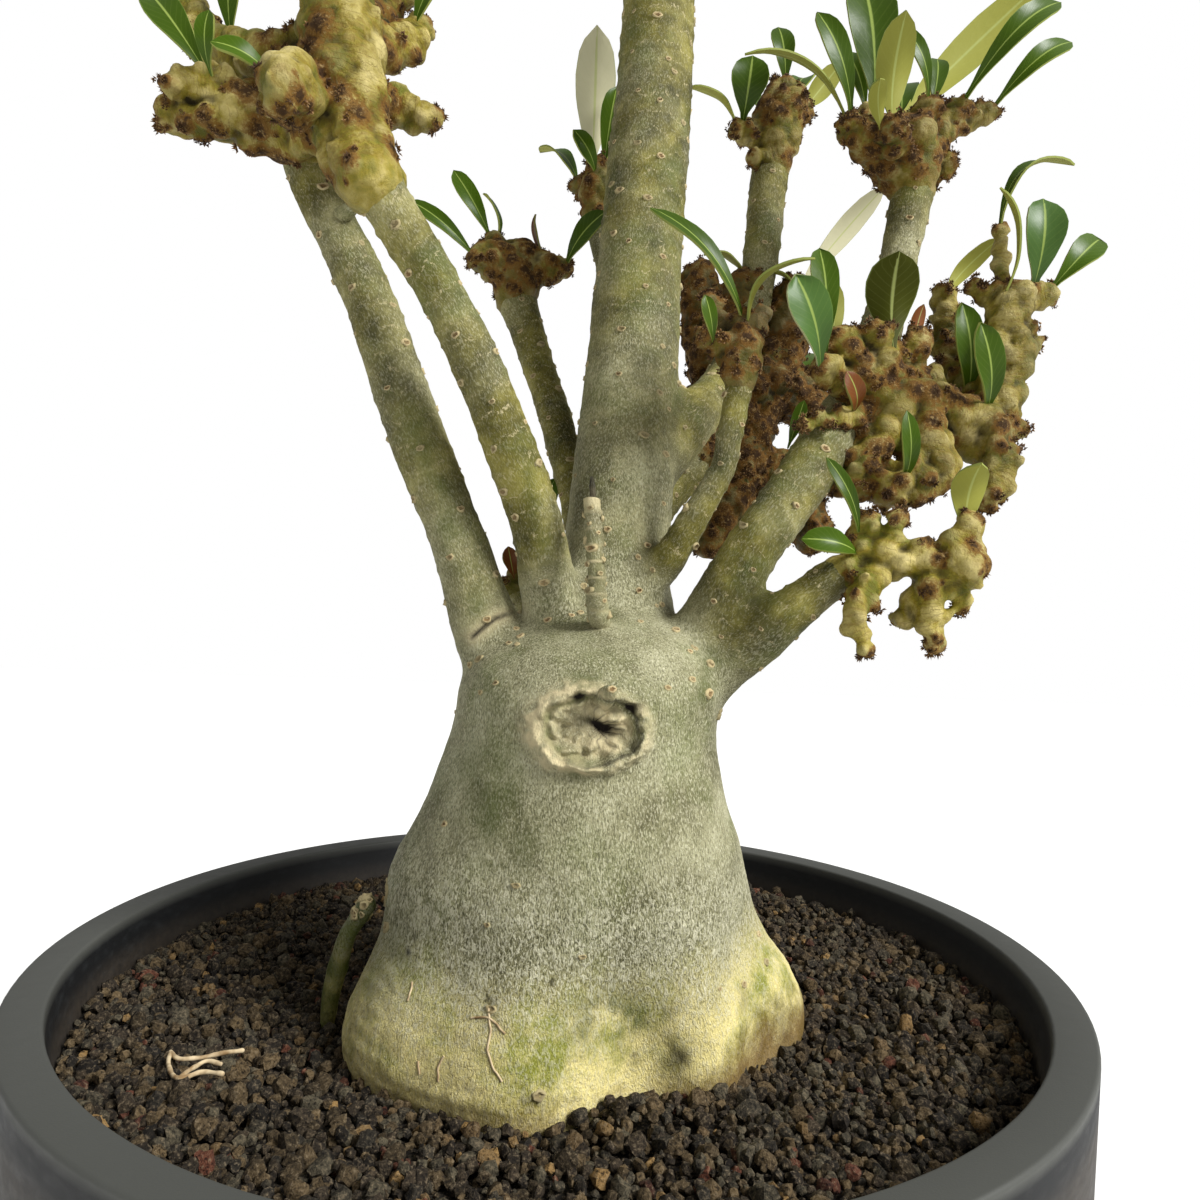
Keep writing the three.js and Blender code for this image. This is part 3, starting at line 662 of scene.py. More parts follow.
@dataclass(frozen=True)
class LivingBark:
    """The thin living bark of an adenium: a waxy grey skin over green, flecked along the grain."""

    shaded: str = "#6f6c4c"
    middle: str = "#95926f"
    lit: str = "#aeab88"
    # young bark, its darker colours also painted shade under the crown
    young: str = "#3b3914"
    young_middle: str = "#645e24"
    young_lit: str = "#8e8640"
    pale_fleck: str = "#d6d2b4"
    # also painted shade in the bark's hollows
    dark_fleck_and_hollow_shade: str = "#3f3d24"
    base: str = "#f2e296"
    base_green: str = "#8f9136"
    stain: str = "#6b4a26"
    green: str = "#697238"
    moss: str = "#43500f"
    cork: str = "#d0c298"
    rot: str = "#170f08"
    blotch: float = 15.0
    green_patch: float = 24.0
    fleck: float = 0.42  # a fleck's width
    fleck_stretch: float = 2.2
    squiggle: float = 0.95  # the wider, lighter flecks of the lower half
    grit: float = 0.4
    ring_spacing: float = 6.4  # between the rings of scars on a branch
    wrinkle: float = 3.4  # between two level wrinkles at the foot
    net_top: float = 250.0  # the lighter flecks have faded out at this height
    soil_level: float = 187.0
    foot_edge: float = 203.0  # where the foot's cream begins to show through, less its ragged part

    @staticmethod
    def lines(
        node: Callable,
        angle: bpy.types.NodeSocket,
        edge: tuple[float, float, float],
        shares: tuple[bpy.types.NodeSocket, ...],
    ) -> bpy.types.NodeSocket:
        """Draw a line wherever an angle's sine passes 0.

        Args:
            node: add_node for the material's tree.
            angle: the angle.
            edge: the sine where a line begins, where it is full, and how strong it is then.
            shares: what weakens the lines.

        Returns:
            How strongly a line covers each point.
        """
        wave = node("Math", {0: angle}, operation="SINE")
        size = node("Math", {0: wave}, operation="ABSOLUTE")
        start, end, most = edge
        line = node("MapRange", {"Value": size, "From Min": start, "From Max": end, "To Max": most})
        for share in shares:
            line = node("Math", {0: line, 1: share}, operation="MULTIPLY")
        return line

    @staticmethod
    def flecks(
        node: Callable,
        vectors: tuple[bpy.types.NodeSocket, bpy.types.NodeSocket],
        unbroken: bpy.types.NodeSocket,
        width: float,
        warp: float,
    ) -> bpy.types.NodeSocket:
        """Noise that follows the grain, and the plain place where the grains of two stems meet.

        Args:
            node: add_node for the material's tree.
            vectors: the plain place, and the place in the grain.
            unbroken: 0 where two grains meet, else 1.
            width: a fleck's width, in millimetres.
            warp: how crooked the flecks are.

        Returns:
            The noise.
        """
        plain, grained = [
            node("TexNoise", {"Vector": vector, "Scale": 1 / width, "Detail": 3.0, "Distortion": warp})
            for vector in vectors
        ]
        return node("Mix", {0: unbroken, 2: plain, 3: grained})

    def material(self) -> bpy.types.Material:
        """Build the material.

        Returns:
            Bark that follows each stem through its "grain", "along", "tint", "relief" and "marks".
        """
        material, shader, node = new_material("living_bark", {"Specular IOR Level": 0.25})
        grain = node("Attribute", out="Vector", attribute_name="grain")
        marks = node("Attribute", attribute_name="marks").node.outputs
        mossy, corky, rotten = node("SeparateColor", {0: marks["Color"]}).node.outputs[:3]
        along, tint, relief = [
            node("Attribute", out="Fac", attribute_name=name) for name in ("along", "tint", "relief")
        ]
        mm = millimetres(node)
        east, _, height = node("SeparateXYZ", {0: mm}).node.outputs
        blotch, patch, grit = [
            node("TexNoise", {"Vector": mm, "Scale": 1 / size, "Detail": detail, "Roughness": soft})
            for size, detail, soft in (
                (self.blotch, 7.0, 0.68),
                (self.green_patch, 8.0, 0.7),
                (self.grit, 2.0, 0.5),
            )
        ]
        upright = node("VectorMath", {0: grain, 1: (1, 1, 1 / self.fleck_stretch)}, operation="MULTIPLY")
        fleck, squiggle = [
            self.flecks(node, (mm, upright), marks["Alpha"], width, warp)
            for width, warp in ((self.fleck, 0.6), (self.squiggle, 1.2))
        ]
        greened, broken, rise, left, pale, dark, wide, gaps, hollow = [
            node("MapRange", {"Value": value, "From Min": low, "From Max": high, "To Max": most})
            for value, low, high, most in (
                (patch, 0.5, 0.66, 0.5),
                (patch, 0.56, 0.47, 1.0),
                (east, 24.0, 56.0, -8.0),
                (east, 22.0, -8.0, 1.0),
                (fleck, 0.52, 0.61, 0.62),
                (fleck, 0.47, 0.36, 0.8),
                (squiggle, 0.53, 0.58, 0.72),
                (squiggle, 0.5, 0.58, 1.0),
                # the last is painted shade where the bark lies in a hollow
                (relief, -0.05, -0.45, 0.6),
            )
        ]

        raised = node("Math", {0: height, 1: rise}, operation="ADD")
        ragged = node("Math", {0: patch, 1: -40.0, 2: raised}, operation="MULTIPLY_ADD")
        footed, low_down, stained = [
            node(
                "MapRange",
                {"Value": value, "From Min": start, "From Max": end, "To Max": most},
                interpolation_type=step,
            )
            for value, start, end, most, step in (
                (ragged, self.foot_edge, self.foot_edge - 29, 0.95, "SMOOTHSTEP"),
                (height, self.net_top, self.soil_level + 38, 1.0, "SMOOTHSTEP"),
                (ragged, self.soil_level - 15, self.soil_level - 26, 0.8, "LINEAR"),
            )
        ]
        strong = node("MapRange", {"Value": low_down, "To Min": 0.7})
        quiet = node("Math", {0: footed, 1: -0.6, 2: strong}, operation="MULTIPLY_ADD")
        calm = node("Math", {0: tint, 1: -0.45, 2: quiet}, operation="MULTIPLY_ADD", use_clamp=True)
        pale, dark, wide = [
            node("Math", {0: one, 1: calm}, operation="MULTIPLY") for one in (pale, dark, wide)
        ]
        squiggled = node("Math", {0: wide, 1: low_down}, operation="MULTIPLY")

        wavy = node("Math", {0: blotch, 1: 34.0, 2: height}, operation="MULTIPLY_ADD")
        sloped = node("Math", {0: east, 1: 0.16, 2: wavy}, operation="MULTIPLY_ADD")
        level = node("Math", {0: sloped, 1: math.pi / self.wrinkle}, operation="MULTIPLY")
        wrinkled = self.lines(node, level, (0.22, 0.02, 0.7), (left, footed, broken))
        turn = node("Math", {0: along, 1: math.pi / self.ring_spacing}, operation="MULTIPLY")
        round_stem = node("Math", {0: blotch, 1: 9.0, 2: turn}, operation="MULTIPLY_ADD")
        rings = self.lines(node, round_stem, (0.16, 0.04, 0.9), (gaps, tint, quiet))

        colour, fresh, foot = [
            node("ValToRGB", {0: value}, stops=stops)
            for value, stops in (
                (blotch, ((0.34, self.shaded), (0.5, self.middle), (0.64, self.lit))),
                (blotch, ((0.36, self.young), (0.5, self.young_middle), (0.64, self.young_lit))),
                (patch, ((0.5, self.base), (0.64, self.base_green))),
            )
        ]
        coats = (
            # the young bark's colours, partly painted shade under the crown
            (tint, fresh),
            (greened, self.green),
            (footed, foot),
            (dark, self.dark_fleck_and_hollow_shade),
            (pale, self.pale_fleck),
            (squiggled, self.pale_fleck),
            # painted shade in the hollows
            (hollow, self.dark_fleck_and_hollow_shade),
            (stained, self.stain),
            (wrinkled, self.stain),
            (rings, self.cork),
            (mossy, self.moss),
            (corky, self.cork),
            (rotten, self.rot),
        )
        colour = paint_over(node, colour, coats)
        surface = node("Math", {0: squiggled, 1: 0.7, 2: pale}, operation="MULTIPLY_ADD")
        for depth, share in ((dark, -0.5), (wrinkled, -0.9), (grit, 0.3)):
            surface = node("Math", {0: depth, 1: share, 2: surface}, operation="MULTIPLY_ADD")
        bump = node("Bump", {"Strength": 0.8, "Distance": 0.4 * MM, "Height": surface})
        dull = node("MapRange", {"Value": blotch, "To Min": 0.85, "To Max": 0.5})
        plug(shader, {"Base Color": colour, "Roughness": dull, "Normal": bump})
        return material


@dataclass(frozen=True)
class DryTissue:
    """Dead tissue of the plant: its colour runs along "blade" and turns to that of old tissue by "tone"."""

    name: str
    colours: tuple[str, str, str]
    aged: str
    shine: float

    def material(self) -> bpy.types.Material:
        """Build the material.

        Returns:
            Dry, dull tissue.
        """
        values = {"Roughness": 0.85, "Specular IOR Level": self.shine}
        material, shader, node = new_material(self.name, values)
        blade, tone = [node("Attribute", out="Fac", attribute_name=name) for name in ("blade", "tone")]
        length = node("ValToRGB", {0: blade}, stops=tuple(zip((0.0, 0.5, 1.0), self.colours)))
        plug(shader, {"Base Color": paint_over(node, length, ((tone, self.aged),))})
        return material


# The cork that closes an old leaf scar: a pale tan ring round a darker middle.
CORK_SCAR = DryTissue("cork_scar", ("#978d67", "#c9b68a", "#755a38"), "#978d67", 0.25)
# Bracts dried on the plant: brown paper, dark at the root and tan at the edge.
PAPERY_BRACT = DryTissue("papery_bract", ("#33210f", "#74522d", "#c9a873"), "#3d2a19", 0.3)


@dataclass(frozen=True)
class KnobFlesh:
    """The smooth living flesh of the flowering heads, corky where each knob ends."""

    # painted shade in the hollows between the knobs
    hollow: str = "#1f1705"
    green: str = "#6c6d16"
    olive: str = "#9c8c2c"
    cream: str = "#dccb86"
    cork: str = "#74501f"
    flake: str = "#c0a470"
    heart: str = "#2a1a0e"
    # the colour of old flesh, also painted shade on the heads that lie in shadow
    aged: str = "#382b13"
    blotch: float = 9.0
    grain: float = 1.1
    ring: float = 1.5  # between two of the fine rings round an arm

    def material(self) -> bpy.types.Material:
        """Build the material.

        Returns:
            Flesh that reads how far the nearest dry knob end lies from "tip", as a share of the knob, how
            far it stands out, in mm, from "relief", its place along the arm, in mm, from "along", and how
            old it is, with painted shade for the heads in shadow, from "age". Its hollows get painted shade
            and what stands out a painted highlight.
        """
        material, shader, node = new_material("knob_flesh", {"Specular IOR Level": 0.25})
        mm = millimetres(node)
        tip, stand, along, age = [
            node("Attribute", out="Fac", attribute_name=name) for name in ("tip", "relief", "along", "age")
        ]
        blotch, fine = [
            node("TexNoise", {"Vector": mm, "Scale": 1 / size, "Detail": 5.0, "Roughness": soft})
            for size, soft in ((self.blotch, 0.6), (self.grain, 0.7))
        ]
        ragged = node("Math", {0: fine, 1: 1.7, 2: tip}, operation="MULTIPLY_ADD")
        wave = node("Math", {0: along, 1: 2 * math.pi / self.ring}, operation="MULTIPLY")
        turned = node("Math", {0: blotch, 1: 16.0, 2: wave}, operation="MULTIPLY_ADD")
        rings = node("Math", {0: turned}, operation="SINE")
        crest_highlight, sunk, corky, hearted, pale, specks, grooves = [
            node("MapRange", {"Value": value, "From Min": low, "From Max": high, "To Max": most})
            for value, low, high, most in (
                # painted highlight in cream where the flesh stands out
                (stand, 0.15, 1.2, 0.75),
                # painted shade where the flesh lies in a hollow
                (stand, 0.05, -0.85, 0.95),
                (ragged, 1.95, 1.5, 0.9),
                (ragged, 1.4, 1.1, 0.85),
                (fine, 0.56, 0.66, 0.8),
                (fine, 0.4, 0.3, 0.55),
                (rings, -0.5, -1.0, 0.25),
            )
        ]
        flaked = node("Math", {0: pale, 1: corky}, operation="MULTIPLY")
        # darker with the head's crust, partly as painted shade on the heads in shadow
        aged_and_shaded = node("Math", {0: age, 1: 0.85}, operation="MULTIPLY")
        stops = ((0.38, self.green), (0.52, self.olive), (0.7, self.cream))
        colour = node("ValToRGB", {0: blotch}, stops=stops)
        coats = (
            (crest_highlight, self.cream),
            (aged_and_shaded, self.aged),
            (specks, self.cork),
            (grooves, self.cork),
            (sunk, self.hollow),
            (corky, self.cork),
            (flaked, self.flake),
            (hearted, self.heart),
        )
        colour = paint_over(node, colour, coats)
        surface = fine
        for depth, share in ((grooves, -0.6), (flaked, 0.5)):
            surface = node("Math", {0: depth, 1: share, 2: surface}, operation="MULTIPLY_ADD")
        bump = node("Bump", {"Strength": 0.9, "Distance": 0.8 * MM, "Height": surface})
        dull = node("MapRange", {"Value": corky, "To Min": 0.5, "To Max": 0.95})
        plug(shader, {"Base Color": colour, "Roughness": dull, "Normal": bump})
        return material


class LeafSide(Enum):
    """Which side of a leaf a finish is for."""

    UPPER = "leaf_upper"
    UNDER = "leaf_under"


@dataclass(frozen=True)
class LeafSkin:
    """A leathery leaf under a thin wax: glossy above, matt and paler below, its midrib and edge pale."""

    side: LeafSide
    kinds: tuple[tuple[float, str], ...]
    rib: str
    edge: str
    gloss: float
    shine: float
    veins: int = 11  # pairs of side veins
    patch: float = 5.0

    def material(self) -> bpy.types.Material:
        """Build the material.

        Returns:
            Leaf skin that reads "kind" and "tone" and runs its veins along the leaf's own map.
        """
        values = {"Roughness": self.gloss, "Specular IOR Level": self.shine}
        material, shader, node = new_material(self.side.value, values)
        kind, tone = [node("Attribute", out="Fac", attribute_name=name) for name in ("kind", "tone")]
        across, along, _ = node("SeparateXYZ", {0: node("UVMap")}).node.outputs
        centred = node("Math", {0: across, 1: 0.5}, operation="SUBTRACT")
        out = node("Math", {0: centred}, operation="ABSOLUTE")
        lean = node("Math", {0: out, 1: -0.45, 2: along}, operation="MULTIPLY_ADD")
        phase = node("Math", {0: lean, 1: 2 * math.pi * self.veins}, operation="MULTIPLY")
        wave = node("Math", {0: phase}, operation="COSINE")
        ribbed, edged, vein = [
            node("MapRange", {"Value": value, "From Min": low, "From Max": high, "To Max": most})
            for value, low, high, most in (
                (out, 0.045, 0.015, 0.65),
                (out, 0.475, 0.495, 0.5),
                (wave, 0.8, 1.0, 0.045),
            )
        ]
        body = node("ValToRGB", {0: kind}, stops=self.kinds)
        colour = node("HueSaturation", {"Value": tone, "Color": body})
        colour = paint_over(node, colour, ((vein, self.rib), (edged, self.edge), (ribbed, self.rib)))
        patch = node("TexNoise", {"Vector": millimetres(node), "Scale": 1 / self.patch, "Detail": 3.0})
        surface = node("Math", {0: vein, 1: patch}, operation="SUBTRACT")
        bump = node("Bump", {"Strength": 0.4, "Distance": 0.3 * MM, "Height": surface})
        plug(shader, {"Base Color": colour, "Normal": bump})
        return material


@dataclass(frozen=True)
class DryRoot:
    """A thin root dried in the sun: straw-coloured fibre with darker joints."""

    straw: str = "#cdb994"
    joint: str = "#8a6f4a"
    joint_spacing: float = 3.0

    def material(self) -> bpy.types.Material:
        """Build the material.

        Returns:
            Matt straw with a blotch every few millimetres.
        """
        material, shader, node = new_material("dry_root", {"Roughness": 0.9})
        blotch = node("TexNoise", {"Vector": millimetres(node), "Scale": 1 / self.joint_spacing})
        colour = node("ValToRGB", {0: blotch}, stops=((0.35, self.joint), (0.6, self.straw)))
        bump = node("Bump", {"Strength": 0.5, "Distance": 0.2 * MM, "Height": blotch})
        plug(shader, {"Base Color": colour, "Normal": bump})
        return material


# ---------------------------------------------------------------- pot


@dataclass
class NurseryPot:
    """The moulded pot: a tapered wall, a flat rim flange with a downturned collar, and drain holes."""

    height: float = 200.0
    rim_radius: float = 150.0
    rim_width: float = 10.5
    rim_thickness: float = 3.0
    rim_rounding: float = 1.0
    collar_height: float = 32.0
    collar_thickness: float = 2.0
    collar_draft: float = 1.0
    wall: float = 2.5
    floor: float = 3.0
    floor_radius: float = 105.0
    foot_chamfer: float = 2.0
    drain_holes: int = 6
    drain_radius: float = 6.0
    drain_circle: float = 72.0
    turn_steps: int = 144
    finish: BlackPolypropylene = field(default_factory=BlackPolypropylene)

    @property
    def mouth_radius(self) -> float:
        """The inside radius at the rim."""
        return self.rim_radius - self.rim_width

    def inside_radius(self, height: float) -> float:
        """The inside radius of the tapered wall at a height."""
        share = (height - self.floor) / (self.height - self.floor)
        return self.floor_radius + share * (self.mouth_radius - self.floor_radius)

    def corner(self, radius: float, height: float, start: float) -> list[tuple[float, float]]:
        """A quarter round of the rim.

        Args:
            radius: its centre's place from the axis.
            height: its centre's height.
            start: its first angle in degrees.

        Returns:
            Radius and height pairs, turning clockwise.
        """
        turns = [math.radians(start - 22.5 * i) for i in range(5)]
        r = self.rim_rounding
        return [(radius + r * math.cos(turn), height + r * math.sin(turn)) for turn in turns]

    def profile(self) -> list[tuple[float, float]]:
        """Work out the wall's section.

        Returns:
            Radius and height pairs, from the axis out, up, over the rim and back in.
        """
        under_rim = self.height - self.rim_thickness
        collar_foot = self.height - self.collar_height
        foot, collar, flange = [
            self.inside_radius(z) + self.wall for z in (0, collar_foot, under_rim)
        ]
        rounding = self.rim_rounding
        return [
            (0, 0),
            (foot - self.foot_chamfer, 0),
            (foot, self.foot_chamfer),
            (collar, collar_foot),
            (flange, under_rim),
            (self.rim_radius - self.collar_thickness, under_rim),
            (self.rim_radius - self.collar_thickness - self.collar_draft, collar_foot),
            (self.rim_radius - self.collar_draft, collar_foot),
            *self.corner(self.rim_radius - rounding, self.height - rounding, 90)[::-1],
            *self.corner(self.mouth_radius + rounding, self.height - rounding, 180)[::-1],
            (self.inside_radius(self.floor), self.floor),
            (0, self.floor),
        ]

    def build(self) -> None:
        """Turn the section round the axis, drill the drain holes and dress the pot."""
        pot = spin_profile("nursery_pot", self.profile(), self.turn_steps)
        drills = []
        for i in range(self.drain_holes):
            angle = (i + 0.5) / self.drain_holes * 2 * math.pi
            at = (math.cos(angle) * self.drain_circle * MM, math.sin(angle) * self.drain_circle * MM, 0)
            deselect()
            bpy.ops.mesh.primitive_cylinder_add(
                vertices=32, radius=self.drain_radius * MM, depth=4 * self.floor * MM, location=at
            )
            drills.append(bpy.context.object)
        drill = join("drill", drills)
        apply_modifier(pot, "BOOLEAN", operation="DIFFERENCE", object=drill, solver="EXACT")
        discard(drill)
        shade(pot, 30)
        hand_over(pot, [self.finish.material()], "pot", "pot")


def spin_profile(name: str, profile: list[tuple[float, float]], steps: int) -> bpy.types.Object:
    """Turn a section about +Z into a closed solid.

    Args:
        name: the object's name.
        profile: radius and height pairs in millimetres, from the axis to the axis.
        steps: how many segments the turn has.

    Returns:
        The solid, its faces pointing out.
    """
    mesh = bpy.data.meshes.new(name)
    places = [(radius * MM, 0, height * MM) for radius, height in profile]
    mesh.from_pydata(places, [(i, i + 1) for i in range(len(places) - 1)], [])
    piece = new_object(name, mesh)
    apply_modifier(
        piece,
        "SCREW",
        axis="Z",
        angle=2 * math.pi,
        steps=steps,
        render_steps=steps,
        use_merge_vertices=True,
        merge_threshold=0.01 * MM,
    )
    bpy.ops.object.mode_set(mode="EDIT")
    bpy.ops.mesh.select_all(action="SELECT")
    bpy.ops.mesh.remove_doubles(threshold=0.01 * MM)
    bpy.ops.mesh.normals_make_consistent(inside=False)
    bpy.ops.object.mode_set(mode="OBJECT")
    return piece


# ---------------------------------------------------------------- the plant's body


@dataclass(frozen=True)
class Lobe:
    """A lobe of the swollen foot: where it points, in degrees, its width, and how far it stands out."""

    towards: float
    width: float
    depth: float


@dataclass(frozen=True)
class Stem:
    """A stem as x, y, z, radius stations; green, at foot and tip, is 0 for old bark and 1 for young, whose
    darker colours are partly painted shade under the crown.
    """

    stations: tuple[tuple[float, float, float, float], ...]
    green: tuple[float, float]


@dataclass(frozen=True)
class Stroke:
    """A mark on the side of the body that faces the viewer: a line of x, z points and its half width."""

    line: tuple[tuple[float, float], ...]
    width: float
    strength: float = 1.0


# Level sections of the swollen base: height, centre x and y, half width, reach to the front and back.
CAUDEX_SECTIONS = (
    (148, 7, -34, 16, 16, 16), (154, 7, -34, 37, 34, 34), (164, 7, -33, 50, 44, 43),
    (176, 7, -32, 55, 48, 46), (189, 6.5, -32, 57, 50, 47), (196, 6.5, -32, 56.5, 49.5, 46.5),
    (204, 6, -33, 54.5, 47, 44), (212, 5, -33.5, 51.5, 44.5, 42), (221, 4, -34, 49.5, 43, 40.5),
    (231, 3, -35, 48.5, 42, 39.5), (241, 4, -36, 45, 40, 38), (251, 4.5, -37, 41, 38.5, 36),
    (262, 5, -37.5, 38, 37, 34), (272, 6, -38, 36, 36, 33), (282, 8, -38, 36, 35.5, 32),
    (290, 9, -37, 33.5, 31, 29), (297, 11, -35, 26, 24, 24), (303, 12, -32, 15, 15, 15),
)

LOBES = (
    Lobe(210, 28, 9), Lobe(255, 16, 5), Lobe(292, 17, -11), Lobe(335, 14, -6), Lobe(12, 26, 9),
    Lobe(62, 20, -5), Lobe(100, 24, 6), Lobe(150, 20, -4),
)

# Every bare stem, the trunk first.
STEMS = (
    Stem(
        (
            (14, -36, 276, 22), (13, -30, 295, 18.5), (13, -25, 313, 16.5), (14, -21, 332, 16),
            (16, -14, 368, 15), (18, -6, 417, 13.5), (20, -2, 451, 13), (22, 4, 506, 12),
            (23, 8, 546, 11.5),
        ),
        # up the trunk it turns young, and darker as painted shade under the crown
        (0.0, 1.5),
    ),
    Stem(
        (
            (-8, -40, 274, 14), (-21, -40, 294, 9.5), (-29, -42, 317, 8.5), (-43, -42, 350, 8),
            (-58, -41, 387, 7.5), (-71, -40, 412, 7), (-77, -40, 425, 7),
        ),
        (0.7, 0.7),
    ),
    Stem(
        (
            (6, -37, 286, 11), (-4, -42, 305, 8), (-9, -49, 327, 7.5), (-15, -53, 342, 7),
            (-24, -58, 363, 7), (-33, -62, 380, 6.5), (-49, -68, 404, 7), (-54, -70, 411, 7.5),
        ),
        (0.85, 0.85),
    ),
    Stem(
        ((8, -14, 316, 8), (1, 0, 337, 6), (-8, 15, 368, 6), (-20, 27, 402, 6.5), (-24, 30, 413, 7.5)),
        (1.0, 1.0),
    ),
    Stem(((4, -22, 290, 7), (-8, -8, 296, 5), (-15, 1, 302, 4.5), (-18, 4, 306, 4.5)), (0.8, 0.8)),
    Stem(
        ((18, -8, 342, 6), (18, 11, 364, 5.5), (14, 24, 399, 6), (7, 36, 436, 6), (4, 38, 447, 6)),
        (0.8, 0.8),
    ),
    Stem(
        (
            (22, -14, 350, 12), (34, -8, 363, 9.5), (42, 2, 373, 7.5), (51, 22, 387, 7.5),
            (60, 40, 410, 7.5), (65, 48, 436, 7), (69, 54, 475, 7.5),
        ),
        (0.9, 0.9),
    ),
    # the shaded head's stalk: its full green is painted shadow
    Stem(((14, -14, 294, 11), (17, 6, 320, 9), (27, 20, 342, 8.5), (38, 30, 356, 8.5)), (1.0, 1.0)),
    Stem(
        (
            (16, -34, 304, 7), (27, -40, 317, 5), (35, -44, 331, 4.5), (41, -46, 342, 4), (43, -47, 355, 4),
            (45, -46, 365, 4.5),
        ),
        (0.9, 0.9),
    ),
    Stem(
        (
            (28, -36, 278, 12), (37, -42, 296, 9), (49, -48, 320, 8), (60, -44, 335, 8), (71, -36, 352, 8),
            (87, -14, 375, 7.5), (100, 2, 408, 6.5), (105, 8, 426, 6.5), (110, 12, 449, 7.5),
        ),
        (0.85, 0.85),
    ),
    Stem(
        (
            (32, -40, 277, 10), (42, -46, 288, 7), (52, -50, 296, 6.5), (59, -53, 304, 6.5),
            (66, -54, 310, 6), (70, -54, 313, 6),
        ),
        (0.85, 0.85),
    ),
)

DEAD_TWIG = Stem(
    (
        (10, -44, 292, 2.6), (9.2, -53, 297.5, 2.7), (8.6, -58.5, 303, 2.7), (7.6, -59, 315, 2.4),
        (6.3, -57, 331, 2.4),
    ),
    (0.35, 0.35),
)
TWIG_SPIKE = Stem(((6.3, -57.2, 330, 0.9), (6.1, -57.2, 334, 0.8), (5.8, -57.4, 337, 0.4)), (0.0, 0.0))
DEAD_LEFT = Stem(((-70, -40, 408, 3), (-64, -46, 409, 2.4), (-61, -48, 410, 1.8)), (0.3, 0.3))
GREEN_SHOOT = Stem(
    (
        (-52, -36, 176, 3), (-61.5, -37, 184, 2.1), (-61.5, -38, 192, 2.3), (-59.5, -40, 202, 2.5),
        (-56, -43, 213, 2.6), (-50.5, -46, 222, 2.4),
    ),
    (1.0, 1.0),
)

# The greener patches, as seen from the front.
MOSS = (
    Stroke(((-17, 262), (-14, 250)), 8, 0.55), Stroke(((10, 207.5), (18, 205), (28, 200)), 6, 0.85),
    Stroke(((-2, 243), (8, 235)), 6, 0.3), Stroke(((36, 283), (38, 290)), 4, 0.6),
    Stroke(((-24, 303), (-33, 330), (-42, 352)), 3.5, 0.55), Stroke(((-5, 318), (-12, 345)), 3, 0.4),
    Stroke(((-40, 214), (-48, 196)), 7, 0.35), Stroke(((8, 296), (10, 300)), 5, 0.35),
)

# The places where soil has stained the foot brown.
STAINS = (
    Stroke(((24, 195), (32.5, 195.5)), 3.6, 0.9), Stroke(((29, 199), (30, 206)), 2.5, 0.35),
    Stroke(((49.2, 207.8), (49.3, 203)), 1.8, 0.3), Stroke(((-12.6, 210.5), (-12, 207)), 1.4, 0.5),
    Stroke(((60, 200), (62, 191)), 2.5, 0.35), Stroke(((-1, 193), (3, 189)), 2.0, 0.35),
)

# The crack at the foot of the left outer branch, and its corky lips.
BRANCH_CRACK = Stroke(((-24.6, 294.5), (-19, 299.5), (-12.9, 302.3)), 0.7)

# Warts of cork that stand on the front of the body: x, z and radius.
WARTS = (
    (-25.0, 287.1, 1.0), (-14.4, 293.3, 0.9), (-12.0, 293.1, 0.9), (-13.1, 297.1, 0.9), (-16.2, 283.6, 0.8),
    (-20.4, 280.8, 0.8), (26.3, 284.1, 0.9), (32.9, 286.0, 1.0), (37.6, 282.3, 1.5), (32.7, 292.9, 0.9),
    (1.7, 301.2, 0.8), (-8.5, 237.0, 0.9), (-15.0, 227.4, 0.8), (-27.9, 247.9, 0.9), (7.7, 221.4, 0.8),
    (-1.0, 193.6, 1.4), (-12.8, 209.9, 1.2), (49.2, 207.8, 1.0), (56.8, 210.0, 1.1), (55.0, 216.6, 1.0),
    (41.8, 210.1, 0.7), (-49.7, 209.6, 1.5), (-43.3, 218.8, 1.6), (12.5, 284.0, 1.0),
)

# Thin dry roots that cling to the front of the foot, as x, z points.
THREADS = (
    ((-13.5, 209.9), (-12.6, 205.7), (-13.1, 202.6), (-11.3, 198.9), (-9.1, 196.4)),
    ((-17.7, 207.4), (-13.1, 208.2), (-9.1, 205.7)), ((-33.2, 211.1), (-33.8, 207.4)),
    ((-23.2, 198.9), (-24.5, 196.4), (-24.1, 193.5)), ((-29.6, 196.4), (-29.0, 193.8)),
)

WART_SIGHT = -120.0  # the y from which the warts are looked for on the front of the body

# Small dark specks on the front of the body: x, z and radius.
SPOTS = (
    (-35.3, 216.8, 0.8), (-34.0, 220.5, 0.5), (0.9, 216.2, 0.7), (-14.0, 211.5, 0.5), (21.0, 196.0, 0.5),
)


